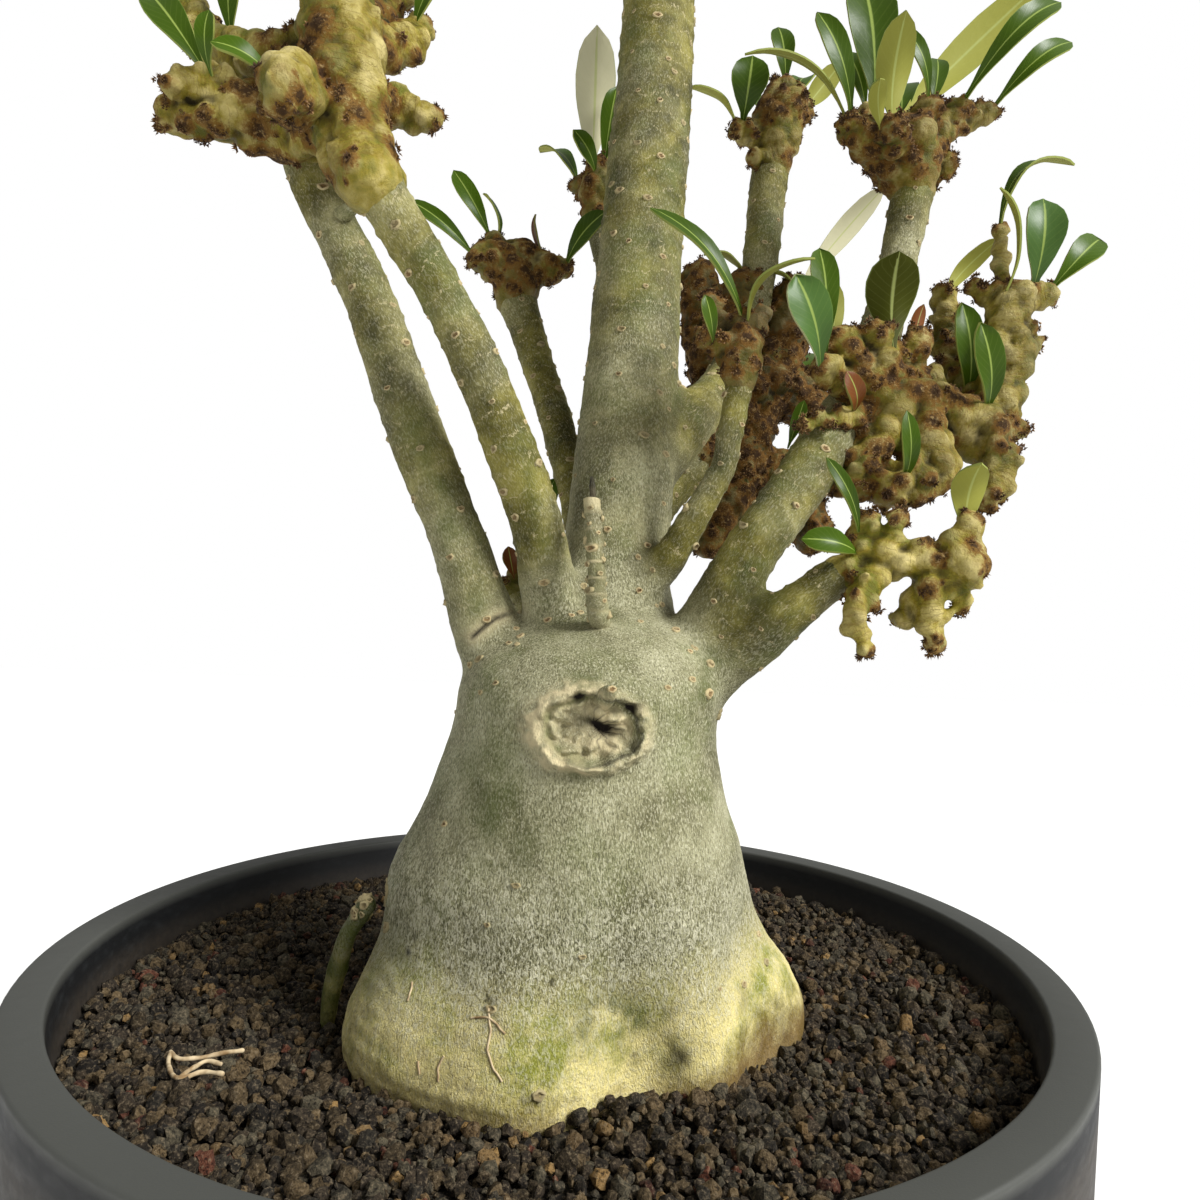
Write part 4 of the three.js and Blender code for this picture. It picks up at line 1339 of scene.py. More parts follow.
@dataclass
class Wound:
    """The callused wound: a raised lip round a rotten hollow, with a knot above it."""

    centre: tuple[float, float] = (8.0, 274.0)
    across: float = 14.0
    tall: float = 9.5
    lip: float = 2.4
    hollow: float = 1.9
    pit: float = 2.8
    front: float = -50.0  # only what lies before this y is shaped
    holes: tuple[tuple[float, float, float], ...] = ((-0.28, 0.8, 0.1), (0.7, 0.58, 0.11))
    knot: tuple[tuple[float, float, float, float], ...] = (
        (10.3, -69, 280, 2.9), (11.3, -74.5, 282.2, 2.3), (12.1, -77, 283.4, 1.7),
    )

    def local(self, points: np.ndarray) -> tuple[np.ndarray, np.ndarray, np.ndarray]:
        """Measure points from the wound's centre.

        Args:
            points: rows in millimetres.

        Returns:
            How far across and up each lies, as shares of the lip's size, and whether it is in front.
        """
        across = (points[:, 0] - self.centre[0]) / self.across
        up = (points[:, 2] - self.centre[1]) / self.tall
        return across, up, points[:, 1] < self.front

    @staticmethod
    def spot(across: np.ndarray, up: np.ndarray, at: tuple[float, float], size: float) -> np.ndarray:
        """How strongly a round spot of the wound covers each point."""
        return np.exp(-(((across - at[0]) ** 2 + (up - at[1]) ** 2) / size**2))

    def bored(self, across: np.ndarray, up: np.ndarray, less: float) -> np.ndarray:
        """How strongly the two round holes, made smaller by a share, cover each point."""
        return sum(self.spot(across, up, (x, z), size - less) for x, z, size in self.holes)

    def slanted(self, across: np.ndarray, up: np.ndarray) -> np.ndarray:
        """The slanted rotten pit in the middle.

        Args:
            across: how far to the right the points lie, as shares of the lip's size.
            up: the same upwards.

        Returns:
            How strongly it covers each point, up to 1.
        """
        along = (across - 0.14) * 0.9 - (up - 0.05) * 0.44
        beside = (across - 0.14) * 0.44 + (up - 0.05) * 0.9
        return np.exp(-((along / 0.32) ** 2 + (beside / 0.17) ** 2))

    def warped(self, points: np.ndarray) -> tuple[np.ndarray, np.ndarray, np.ndarray, np.ndarray]:
        """The wound's own coordinates, made uneven as living callus is.

        Args:
            points: rows in millimetres.

        Returns:
            Across, up, the distance from the middle, and 1 where the points are in front.
        """
        across, up, front = self.local(points)
        across = across + 0.09 * rough(points, 5.0, 3)
        up = up + 0.12 * rough(points + 40.0, 5.0, 3)
        radius = np.hypot(across, up)
        return across, up, radius, (front & (radius < 2.0)).astype(float)

    def carve(self, points: np.ndarray) -> np.ndarray:
        """Shape the lip, the hollow and the pits.

        Args:
            points: rows in millimetres.

        Returns:
            How far each point is pushed out, in millimetres, less than 0 where it is sunk.
        """
        across, up, radius, shown = self.warped(points)
        angle = np.arctan2(up, across)
        wide = 0.15 - 0.07 * np.cos(angle)
        lip = self.lip * np.exp(-(((radius - 0.98) / wide) ** 2)) * (0.85 - 0.2 * np.sin(angle))
        inside = fade(radius, 0.9, 0.68)
        ridge = 1.4 * np.exp(-(((radius - 0.66) / 0.09) ** 2)) * fade(-np.cos(angle), 0.1, 0.6)
        folds = 0.6 * np.sin(9 * angle + 5 * radius + 2 * rough(points, 3.0, 1))
        folds *= fade(radius, 0.92, 0.7) * fade(radius, 0.2, 0.45)
        lumps = 0.9 * rough(points, 3.2, 2) * fade(radius, 1.1, 0.9)
        holes = self.bored(across, up, 0.0)
        sunk = self.hollow * inside + self.pit * self.slanted(across, up) + 2.4 * holes
        return shown * (lip + ridge + folds + lumps - sunk)

    def paint(self, points: np.ndarray) -> np.ndarray:
        """Colour the wound.

        Args:
            points: rows in millimetres.

        Returns:
            Moss, cork and rot at each point, as three columns.
        """
        across, up, radius, shown = self.warped(points)
        angle = np.arctan2(up, across)
        left = fade(-np.cos(angle), -0.5, 0.6)
        flaky = np.clip(0.55 + 1.2 * rough(points, 2.5, 2), 0, 1)
        cork = np.exp(-(((radius - 1.0) / (0.1 + 0.1 * left)) ** 2)) * (0.5 + 0.5 * left) * (0.4 + flaky)
        cork += fade(radius, 0.85, 0.6) * (1 - 0.5 * left) * (0.45 + 0.55 * flaky)
        crescent = np.exp(-(((radius - 0.78) / 0.09) ** 2)) * left
        halo = 0.7 * self.spot(across, up, (-0.15, 1.12), 0.25)
        halo += 0.6 * self.spot(across, up, (-0.2, -1.1), 0.2)
        holes = self.bored(across, up, 0.01)
        crack = np.exp(-(((radius - 0.87) / 0.035) ** 2)) * (1 - 0.7 * left)
        fibres = 0.5 * fade(np.sin(17 * angle + 6 * radius), 0.5, 1.0) * fade(radius, 0.75, 0.4)
        rot = 1.3 * self.slanted(across, up) + 1.2 * holes + 0.7 * crack + fibres * (1 - left)
        columns = np.column_stack([0.9 * crescent + halo, cork, rot])
        return np.clip(columns, 0, 1) * shown[:, None]


@dataclass
class PlantBody:
    """The swollen base, the trunk and every bare branch, which grew as one piece."""

    lobe_height: float = 190.0
    lobe_fade: float = 26.0
    voxel: float = 1.85
    smoothing: int = 7
    front: float = -32.0  # the finer mesh of the base lies before this y
    front_low: float = 186.0
    front_high: float = 304.0
    scar_spacing: float = 3.7
    scar_shapes: int = 5
    shoot_flakes: int = 24
    twig_ring: float = 4.2  # between two rings of the dead twig
    thread_radius: float = 0.27
    stems_above: float = 266.0  # below this height all the bark belongs to the base
    wound: Wound = field(default_factory=Wound)
    bark: LivingBark = field(default_factory=LivingBark)
    cork: DryTissue = CORK_SCAR
    seed: int = 7

    def lobes(self, degrees: np.ndarray, height: np.ndarray) -> np.ndarray:
        """How far the foot's lobes push the surface out.

        Args:
            degrees: the directions from the base's middle.
            height: the heights.

        Returns:
            Millimetres, one number for each direction.
        """
        strength = np.exp(-(((height - self.lobe_height) / self.lobe_fade) ** 2))
        total = np.zeros_like(degrees)
        for lobe in LOBES:
            away = (degrees - lobe.towards + 540) % 360 - 180
            total += lobe.depth * strength * np.exp(-((away / lobe.width) ** 2))
        return total

    def outline(self, height: float) -> tuple[float, float, float, float, float]:
        """Centre x and y, half width, front and back reach of the base at a height."""
        table = np.asarray(CAUDEX_SECTIONS, float)
        return tuple(float(np.interp(height, table[:, 0], column)) for column in table.T[1:])

    def covers(self, x: np.ndarray, y: np.ndarray, height: float, margin: float) -> np.ndarray:
        """Find which places lie inside the base's outline.

        Args:
            x: the places' x.
            y: their y.
            height: the outline's level.
            margin: how far inside they have to lie.

        Returns:
            One truth value for each place.
        """
        centre_x, centre_y, half, front, back = self.outline(height)
        dx, dy = x - centre_x, y - centre_y
        away = np.hypot(dx, dy) + 1e-6
        deep = np.where(dy < 0, front, back)
        reach = half * deep * away / np.hypot(deep * dx, half * dy)
        degrees = (np.degrees(np.arctan2(dy, dx)) + 360) % 360
        return away < reach + self.lobes(degrees, np.full_like(degrees, height)) - margin

    def swollen_base(self) -> bpy.types.Object:
        """Shape a sphere into the base, section by section.

        Returns:
            The base alone.
        """
        deselect()
        bpy.ops.mesh.primitive_uv_sphere_add(segments=128, ring_count=96, radius=1)
        base = bpy.context.object
        unit = points_of(base) * MM
        share = 1 - np.arccos(np.clip(unit[:, 2], -1, 1)) / math.pi
        rows = smooth_rows(CAUDEX_SECTIONS, 12)
        place = share * (len(rows) - 1)
        z, cx, cy, half, front, back = [
            np.interp(place, np.arange(len(rows)), column) for column in rows.T
        ]
        flat = np.hypot(unit[:, 0], unit[:, 1])
        flat = np.where(flat < 1e-4, 1, flat)
        dx, dy = unit[:, 0] / flat, unit[:, 1] / flat
        at_pole = np.hypot(dx, dy) < 0.5
        deep = np.where(dy < 0, front, back)
        reach = half * deep / np.hypot(deep * dx + 1e-9, half * dy)
        degrees = (np.degrees(np.arctan2(dy, dx)) + 360) % 360
        out = np.where(at_pole, 0, reach + self.lobes(degrees, z))
        move_points(base, np.column_stack([cx + dx * out, cy + dy * out, z]))
        return base

    def grow(self) -> bpy.types.Object:
        """Join base and stems into one smooth skin.

        Returns:
            The body's skin.
        """
        parts = [self.swollen_base()]
        for i, stem in enumerate(STEMS):
            parts.append(tube(f"stem_{i}", rounded(even_route(stem.stations, 3.0)), 6))
        body = join("plant_body", parts)
        apply_modifier(body, "REMESH", mode="VOXEL", voxel_size=self.voxel * MM)
        apply_modifier(body, "SMOOTH", factor=0.5, iterations=self.smoothing)
        return body

    def refine(self, body: bpy.types.Object) -> None:
        """Give the front of the base, and the wound on it, a finer mesh.

        Args:
            body: the body's skin.
        """
        _, y, z = centres_of(body).T
        chosen = (y < self.front) & (z > self.front_low) & (z < self.front_high)
        subdivide_where(body, chosen)
        apply_modifier(body, "SMOOTH", factor=0.5, iterations=3)
        centres = centres_of(body)
        across, up, front = self.wound.local(centres)
        subdivide_where(body, front & (np.hypot(across, up) < 1.5))
        apply_modifier(body, "SMOOTH", factor=0.5, iterations=2)
        across, up, front = self.wound.local(centres_of(body))
        subdivide_where(body, front & (np.hypot(across, up) < 1.2))

    def stroke(self, points: np.ndarray, mark: Stroke) -> np.ndarray:
        """How strongly a stroke covers each point, seen from the front.

        Args:
            points: rows in millimetres.
            mark: the stroke.

        Returns:
            From 0 to the stroke's strength.
        """
        place = points[:, [0, 2]]
        nearest = np.full(len(place), 1e9)
        for start, end in zip(mark.line, mark.line[1:]):
            first, run = np.array(start), np.subtract(end, start)
            share = np.clip((place - first) @ run / (run @ run), 0, 1)
            gap = np.linalg.norm(place - first - share[:, None] * run, axis=1)
            nearest = np.minimum(nearest, gap)
        return mark.strength * np.exp(-((nearest / mark.width) ** 2))

    def carve(self, body: bpy.types.Object) -> None:
        """Work the relief into the skin: lumps, node rings, wrinkles, the wound and the crack.

        Args:
            body: the body's skin.
        """
        points, out = points_of(body), normals_of(body)
        x, y, z = points.T
        grain, along, tint, unbroken = self.follow_stems(points)
        push = 0.7 * rough(points, 26.0, 2) + 0.2 * rough(points, 6.0, 3)
        base = fade(z, 262, 225) * fade(y, 0, -30)
        push += 0.1 * base * rough(grain * np.array([1, 1, 0.4]), 1.8, 2)
        nodes = np.abs(np.sin(math.pi * along / self.bark.ring_spacing + 2 * rough(points, 11.0, 1)))
        push += 0.4 * fade(nodes, 0.4, 0.0) * np.clip(tint, 0.15, 1) * unbroken * fade(z, 290, 310)
        wrinkled = fade(z, 226, 206) * fade(x, 25, -5) * fade(y, -20, -45)
        swell = rough(points * np.array([0.25, 0.25, 1]), 9.0, 2)
        push += 0.1 * wrinkled * np.sin(2 * math.pi * (z + 0.16 * x) / 6.0 + 7 * swell)
        front_facing = fade(out[:, 1], -0.05, -0.4) * fade(y, -45, -52)
        push -= 1.5 * self.stroke(points, BRANCH_CRACK) * front_facing
        push += 0.7 * self.stroke(points, Stroke(BRANCH_CRACK.line, 2.2)) * front_facing
        points = points + out * push[:, None]
        points[:, 1] -= self.wound.carve(points)
        move_points(body, points)

    def follow_stems(self, points: np.ndarray) -> tuple[np.ndarray, np.ndarray, np.ndarray, np.ndarray]:
        """Work out each point's place in the grain of the stem that it lies on.

        Args:
            points: rows in millimetres.

        Returns:
            Grain coordinates in millimetres, their third running along the stem, the length along the
            stem, how green the bark is, which is partly painted shade, and 0 where the grain of two stems
            meets, else 1.
        """
        trunk = even_route(STEMS[0].stations, 2.0)
        core = []
        for side in (-1, 0, 1):
            for height in np.arange(230, 300, 2.0):
                x, y, half, front, back = self.outline(height)
                deep = min(front, back)
                core.append((x + side * (half - deep), y, height, deep))
        others = (*STEMS[1:], DEAD_TWIG, DEAD_LEFT)
        routes = [np.vstack([trunk, core]), *(even_route(one.stations, 2.0) for one in others)]
        size = (len(routes), len(points))
        gaps, tints, picks = np.empty(size), np.empty(size), np.empty(size, int)
        bend = rough(points, 8.0, 1)
        low = 9 * fade(points[:, 2], 300, 282)
        for k, (route, stem) in enumerate(zip(routes, (STEMS[0], *others))):
            places = route[:, :3]
            spans = (points**2).sum(axis=1)[:, None] + (places**2).sum(axis=1) - 2 * points @ places.T
            away = np.sqrt(np.maximum(spans, 0)) - route[:, 3]
            picks[k] = away.argmin(axis=1)
            gaps[k] = away.min(axis=1) + (low + bend if k else 0)
            foot, tip = stem.green
            tints[k] = foot + (tip - foot) * np.minimum(picks[k] / len(route if k else trunk), 1)
        tints[0] = np.where(picks[0] < len(trunk), tints[0], 0)
        near = np.exp(-(gaps - gaps.min(axis=0)) / 2.2)
        tint = (near * tints).sum(axis=0) / near.sum(axis=0)
        order = np.sort(gaps, axis=0)
        unbroken = np.clip((order[1] - order[0] - 0.5) / 2.4, 0, 1)
        grain, along = points.copy(), points[:, 2].copy()
        best = gaps.argmin(axis=0)
        for k, route in enumerate(routes):
            chosen = np.flatnonzero((best == k) & (k > 0) & (points[:, 2] > self.stems_above))
            if not len(chosen):
                continue
            ways = tangents_of(route)
            turns = np.array([Vector(way).rotation_difference(UP).to_matrix() for way in ways])
            run, at = run_along(route), picks[k][chosen]
            offset = np.einsum("nij,nj->ni", turns[at], points[chosen] - route[at, :3])
            along[chosen] = offset[:, 2] + run[at]
            grain[chosen] = np.column_stack([offset[:, 0] + 50 * k, offset[:, 1], along[chosen]])
        return grain, along, tint * fade(points[:, 2], self.stems_above, self.stems_above + 30), unbroken

    @staticmethod
    def clearance_of(points: np.ndarray, stem: Stem) -> np.ndarray:
        """Measure how far points lie outside a stem.

        Args:
            points: rows in millimetres.
            stem: the stem.

        Returns:
            Millimetres, less than 0 inside it.
        """
        near = np.full(len(points), 99.0)
        for place in even_route(stem.stations, 1.0):
            near = np.minimum(near, np.linalg.norm(points - place[:3], axis=1) - place[3])
        return near

    def mark(self, body: bpy.types.Object) -> None:
        """Store the grain, the greenness, which is partly painted shade, the relief and the marks that the
        bark's finish reads.

        Args:
            body: the body's skin.
        """
        points, out = points_of(body), normals_of(body)
        x, y, z = points.T
        grain, along, tint, unbroken = self.follow_stems(points)
        tint = np.clip(tint * (1 + 0.8 * rough(points, 22.0, 2)), 0, 1)
        front = fade(out[:, 1], 0.1, -0.4) * fade(y, -38, -50)
        patches = np.clip(0.65 + 1.1 * rough(points, 8.0, 4), 0, 1)
        moss = sum(self.stroke(points, one) for one in MOSS) * front * patches
        on_shoot, on_twig, on_spike = [
            self.clearance_of(points, one) < 0.7 for one in (GREEN_SHOOT, DEAD_TWIG, TWIG_SPIKE)
        ]
        moss = np.where(on_shoot, 0.4 * patches + 0.6, np.where(on_twig, 0.4 * patches, moss))
        rot = self.stroke(points, BRANCH_CRACK) * front + 0.85 * on_spike
        rot += sum(self.stroke(points, one) for one in STAINS) * patches * fade(out[:, 1], 0.2, -0.2)
        cork = 0.7 * self.stroke(points, Stroke(BRANCH_CRACK.line, 2.2)) * front
        banded = fade(np.abs(np.sin(math.pi * z / self.twig_ring)), 0.35, 0.1)
        cork += on_twig * (0.12 + 0.6 * banded * patches + 0.6 * fade(z, 327, 330))
        for spot_x, spot_z, radius in SPOTS:
            rot += np.exp(-(((x - spot_x) ** 2 + (z - spot_z) ** 2) / radius**2)) * front
        painted = np.column_stack([moss, cork, rot]) + self.wound.paint(points)
        store(body, "grain", grain)
        store(body, "along", along)
        store(body, "tint", tint)
        store(body, "relief", relief_of(body, 14))
        store(body, "marks", np.column_stack([np.clip(painted, 0, 1), unbroken]))

    def scar_shape(self, seed: int) -> bpy.types.Object:
        """A low, uneven cupped ring, its middle pressed in.

        Args:
            seed: which scar.

        Returns:
            The scar at the origin, about 1 mm in radius.
        """
        deselect()
        bpy.ops.mesh.primitive_cylinder_add(vertices=10, radius=1 * MM, depth=0.8 * MM)
        scar = bpy.context.object
        bpy.context.tool_settings.mesh_select_mode = (False, False, True)
        bpy.ops.object.mode_set(mode="EDIT")
        bpy.ops.mesh.select_all(action="DESELECT")
        bpy.ops.object.mode_set(mode="OBJECT")
        for face in scar.data.polygons:
            face.select = face.normal.z > 0.9
        bpy.ops.object.mode_set(mode="EDIT")
        bpy.ops.transform.resize(value=(0.72, 0.72, 1))
        bpy.ops.mesh.inset(thickness=0.3 * MM)
        bpy.ops.transform.translate(value=(0, 0, -0.35 * MM))
        bpy.ops.object.mode_set(mode="OBJECT")
        points = points_of(scar)
        store(scar, "blade", fade(np.hypot(points[:, 0], points[:, 1]), 1.0, 0.4))
        draw = np.random.default_rng(seed)
        move_points(scar, points + draw.normal(0, 0.11, points.shape))
        return scar

    def scar_aims(self) -> list[tuple[np.ndarray, float, np.ndarray]]:
        """Choose where the scars sit.

        Returns:
            For each an aim near the skin, a radius, and the grain's direction.
        """
        draw = np.random.default_rng(self.seed)
        aims = []
        for stem in (*STEMS, DEAD_TWIG):
            route = even_route(stem.stations, self.scar_spacing * (0.35 if stem is DEAD_TWIG else 1.0))
            ahead = tangents_of(route)
            frames = frames_along(ahead, np.arange(len(route)) * GOLDEN_ANGLE)
            count = 2 if route[0, 3] > 20 else 1
            for i in range(2, len(route) - 1):
                for side in range(count):
                    turn = 2 * math.pi * side / count + draw.normal(0, 0.3)
                    out = frames[i, :, 0] * math.cos(turn) + frames[i, :, 1] * math.sin(turn)
                    aims.append((route[i, :3] + out * route[i, 3], draw.uniform(0.6, 1.3), ahead[i]))
        tip = np.array(GREEN_SHOOT.stations[-1][:3])
        for _ in range(self.shoot_flakes):
            aim = tip + draw.normal(0, 2.5, 3) + [0, 0, 2]
            aims.append((aim, draw.uniform(0.8, 1.3), draw.normal(0, 1, 3)))
        for x, z, radius in WARTS:
            aims.append((np.array([x, WART_SIGHT, z]), radius, np.array([0.0, 0.0, 1.0])))
        return aims

    def scars(self, body: bpy.types.Object) -> bpy.types.Object:
        """Set the old leaf scars round every stem, and the named warts on the base.

        Args:
            body: the finished skin, which they sit on.

        Returns:
            All the scars as one piece.
        """
        places, normals, sizes, grains = [], [], [], []
        for aim, size, grain in self.scar_aims():
            if aim[1] == WART_SIGHT:
                hit, place, normal, _ = body.ray_cast(Vector(aim * MM), TO_THE_BACK)
            else:
                hit, place, normal, _ = body.closest_point_on_mesh(Vector(aim * MM))
            if hit:
                places.append(np.array(place) / MM)
                normals.append(np.array(normal))
                sizes.append(size)
                grains.append(grain)
        places, normals, sizes = np.array(places), np.array(normals), np.array(sizes)
        across = unit(np.cross(np.array(grains), normals))
        frames = np.stack([across, np.cross(normals, across), normals], axis=2)
        draw = np.random.default_rng(self.seed + 1)
        wide = sizes * draw.uniform(1.1, 1.7, len(sizes))
        frames = frames * np.column_stack([wide, sizes, 0.9 * sizes + 0.2])[:, None, :]
        tones = draw.uniform(0, 0.75, len(sizes))
        kind = draw.integers(0, self.scar_shapes, len(sizes))
        parts = []
        for i in range(self.scar_shapes):
            shape = self.scar_shape(self.seed + i)
            chosen = kind == i
            parts.append(scatter(f"scars_{i}", shape, places[chosen], frames[chosen], tones[chosen]))
            discard(shape)
        return join("leaf_scars", parts)

    def threads(self, body: bpy.types.Object) -> bpy.types.Object:
        """Lay the thin dry roots on the skin of the foot.

        Args:
            body: the finished skin.

        Returns:
            All of them as one piece.
        """
        parts = []
        for i, thread in enumerate(THREADS):
            route = even_route(tuple((x, 0.0, z, self.thread_radius) for x, z in thread), 0.7)
            for row in route:
                row[0] += 0.4 * noise.noise(Vector(row[:3]) / 1.7)
                start = Vector((row[0], WART_SIGHT, row[2])) * MM
                _, place, _, _ = body.ray_cast(start, TO_THE_BACK)
                row[1] = place.y / MM
            parts.append(tube(f"thread_{i}", route, 2))
        return join("foot_root_threads", parts)

    def build(self, dry_root: bpy.types.Material) -> None:
        """Grow, carve, mark and dress the body.

        Args:
            dry_root: what the thin roots on the foot are made of.
        """
        body = self.grow()
        self.refine(body)
        twig = even_route(DEAD_TWIG.stations, 0.5)
        bands = fade(np.abs(np.sin(math.pi * twig[:, 2] / self.twig_ring)), 0.4, 0)
        twig[:, 3] *= 1 + 0.16 * rough(twig[:, :3], 3.0, 3) + 0.1 * bands
        twig[:, :2] += 0.5 * rough(twig[:, :3] + 30, 5.0, 2)[:, None]
        extras = [
            tube("dead_twig", twig, 4),
            tube("twig_spike", even_route(TWIG_SPIKE.stations, 0.8), 2),
            tube("dead_left", rounded(even_route(DEAD_LEFT.stations, 1.0)), 4),
            tube("green_shoot", rounded(even_route(GREEN_SHOOT.stations, 1.5)), 4),
        ]
        body = join("plant_body", [body, *extras])
        self.carve(body)
        knot = tube("knot", rounded(even_route(self.wound.knot, 0.5)), 5)
        body = join("plant_body", [body, knot])
        shade(body)
        self.mark(body)
        scars = self.scars(body)
        threads = self.threads(body)
        hand_over(threads, [dry_root], "bark", "caudex_and_stems")
        hand_over(body, [self.bark.material()], "bark", "caudex_and_stems")
        hand_over(scars, [self.cork.material()], "bark", "caudex_and_stems")


# ---------------------------------------------------------------- soil


@dataclass
class SoilFill:
    """The pot's fill: a bed of grit with loose granules all over its top."""

    pot: NurseryPot
    body: PlantBody
    level: float = 187.0
    clearance: float = 0.35
    bed_depth: float = 2.5  # the bed's top lies this far under the level
    pitch: float = 2.6
    stones: int = 1100  # larger pieces that lie on top
    shapes: int = 6
    seed: int = 23
    families: tuple[tuple[str, float, str, str], ...] = (
        ("soil_dark", 0.32, "#1b1712", "#403629"),
        ("soil_grey", 0.29, "#25211c", "#57503f"),
        ("soil_brown", 0.33, "#2e2619", "#65543a"),
        ("soil_rust", 0.03, "#3f251b", "#663c2b"),
        ("soil_pale", 0.03, "#5d4c35", "#977747"),
    )

    def top(self, x: np.ndarray, y: np.ndarray) -> np.ndarray:
        """The height of the soil's top.

        Args:
            x: the places' x.
            y: their y.

        Returns:
            One height for each place.
        """
        points = np.column_stack([x, y, np.zeros_like(x)])
        heap = 4.5 * np.exp(-(((x - 22) / 12) ** 2 + ((y + 80) / 7) ** 2))
        return self.level - 1.2 + 1.3 * rough(points, 34.0, 2) + heap

    def bed(self, name: str) -> bpy.types.Object:
        """The closed body of soil under the granules.

        Args:
            name: the new object's name.

        Returns:
            The body, turned about the pot's axis.
        """
        low, high = self.pot.floor + self.clearance, self.level - self.bed_depth
        foot, edge = [self.pot.inside_radius(z) - self.clearance for z in (low, high)]
        rings = [(edge * share, high) for share in np.linspace(1, 0, 24)]
        return spin_profile(name, [(0, low), (foot, low), *rings], 96)

    def granule(self, seed: int) -> bpy.types.Object:
        """One lump of lava of radius about 1: a cut cube, rounded and dented.

        Args:
            seed: which lump.

        Returns:
            The lump at the origin.
        """
        deselect()
        bpy.ops.mesh.primitive_cube_add(size=1.2 * MM)
        lump = bpy.context.object
        bpy.ops.object.mode_set(mode="EDIT")
        bpy.ops.mesh.select_all(action="SELECT")
        bpy.ops.mesh.subdivide(number_cuts=1)
        bpy.ops.transform.tosphere(value=0.9)
        bpy.ops.object.mode_set(mode="OBJECT")
        draw = np.random.default_rng(seed)
        points = points_of(lump)
        points *= 1 + draw.uniform(-0.24, 0.24, (len(points), 1))
        points = points / np.linalg.norm(points, axis=1).mean()
        move_points(lump, points)
        return lump

    def layout(self) -> tuple[np.ndarray, np.ndarray]:
        """Choose each granule's place and size.

        Returns:
            Places as rows, and radii.
        """
        draw = np.random.default_rng(self.seed)
        edge = self.pot.inside_radius(self.level) - 1.6
        rows = np.arange(-edge, edge, self.pitch * math.sqrt(0.75))
        columns = np.arange(-edge, edge, self.pitch)
        x = (columns[None, :] + (np.arange(len(rows)) % 2)[:, None] * self.pitch / 2).ravel()
        y = np.repeat(rows, len(columns))
        x = x + draw.normal(0, 0.7, len(x))
        y = y + draw.normal(0, 0.7, len(y))
        radius = np.clip(draw.lognormal(math.log(1.3), 0.28, len(x)), 0.75, 2.3)
        turn = draw.uniform(0, 2 * math.pi, self.stones)
        away = edge * np.sqrt(draw.uniform(0, 1, self.stones))
        x = np.concatenate([x, away * np.cos(turn)])
        y = np.concatenate([y, away * np.sin(turn)])
        radius = np.concatenate([radius, draw.uniform(1.5, 2.8, self.stones)])
        lift = np.concatenate([np.zeros(len(x) - self.stones), np.full(self.stones, 1.2)])
        z = self.top(x, y) + lift + draw.uniform(-1.1, 0.7, len(x))
        inside = np.hypot(x, y) < edge + 1.6 - radius
        inside &= ~self.body.covers(x, y, self.level + 1, 1.0)
        return np.column_stack([x, y, z])[inside], radius[inside]

    def build(self) -> None:
        """Lay the bed and the granules, family by family, and dress them."""
        bed = self.bed("soil_bed")
        store(bed, "tone", np.full(len(bed.data.vertices), 0.1))
        shades = {}
        for name, _, dark, light in self.families:
            shades[name] = VolcanicGrit(name, dark, light).material()
        hand_over(bed, [shades["soil_dark"]], "soil", "soil")
        places, radii = self.layout()
        draw = np.random.default_rng(self.seed + 1)
        shares = [share for _, share, _, _ in self.families]
        family = draw.choice(len(shares), len(places), p=shares)
        shape = draw.integers(0, self.shapes, len(places))
        lumps = [self.granule(self.seed + 10 + i) for i in range(self.shapes)]
        for i, (name, _, _, _) in enumerate(self.families):
            parts = []
            for j, lump in enumerate(lumps):
                chosen = (family == i) & (shape == j)
                count = int(chosen.sum())
                aims = unit(draw.normal(0, 1, (count, 3)))
                frames = frames_along(aims, draw.uniform(0, 2 * math.pi, count))
                squash = draw.uniform(0.72, 1.15, (count, 1, 3)) * radii[chosen][:, None, None]
                tones = draw.uniform(0, 1, count)
                parts.append(scatter(f"{name}_{j}", lump, places[chosen], frames * squash, tones))
            granules = join(f"{name}_granules", parts)
            shade(granules, 42)
            hand_over(granules, [shades[name]], "soil", "soil")
        discard(*lumps)


@dataclass
class Rootlets:
    """The small forked scrap of dry root that lies on the soil."""

    radius: float = 0.6
    height: float = 188.9
    runs: tuple[tuple[tuple[float, float], ...], ...] = (
        ((-94.2, -60.8), (-90.4, -64.3), (-83.1, -61.4), (-76.9, -59.5)),
        ((-94.2, -60.8), (-91.5, -67.5), (-86.1, -73.4), (-82, -70.1), (-77.2, -70.9)),
        ((-86.1, -73.4), (-83.9, -64.4), (-79.7, -65.2)),
    )

    def build(self, material: bpy.types.Material) -> None:
        """Draw each run as a thin, uneven root and dress them as one piece.

        Args:
            material: what they are made of.
        """
        parts = []
        for i, run in enumerate(self.runs):
            route = even_route(tuple((x, y, self.height, self.radius) for x, y in run), 0.6)
            route[:, 3] *= 0.95 + 0.25 * rough(route[:, :3], 2.5, 2)
            route[:, 2] += 0.5 * rough(route[:, :3], 6.0, 2)
            parts.append(tube(f"rootlet_{i}", rounded(route, start=True), 3))
        roots = join("dry_root_scrap", parts)
        shade(roots)
        hand_over(roots, [material], "dry_root", "dry_rootlets")


# ---------------------------------------------------------------- heads


class Facing(Enum):
    """Which way the upper side of a leaf looks."""

    FRONT = (0.0, -1.0, 0.35)
    BACK = (0.0, 1.0, 0.35)
    UP = (0.0, -0.3, 1.0)
    LEFT = (-1.0, -0.3, 0.3)
    RIGHT = (1.0, -0.3, 0.3)


class LeafKind(Enum):
    """What a leaf is like, by its place on the finish's colour ramp."""

    BLUISH = 0.0
    GREEN = 0.3
    OLIVE = 0.55
    YELLOW = 0.8
    DRIED = 1.0


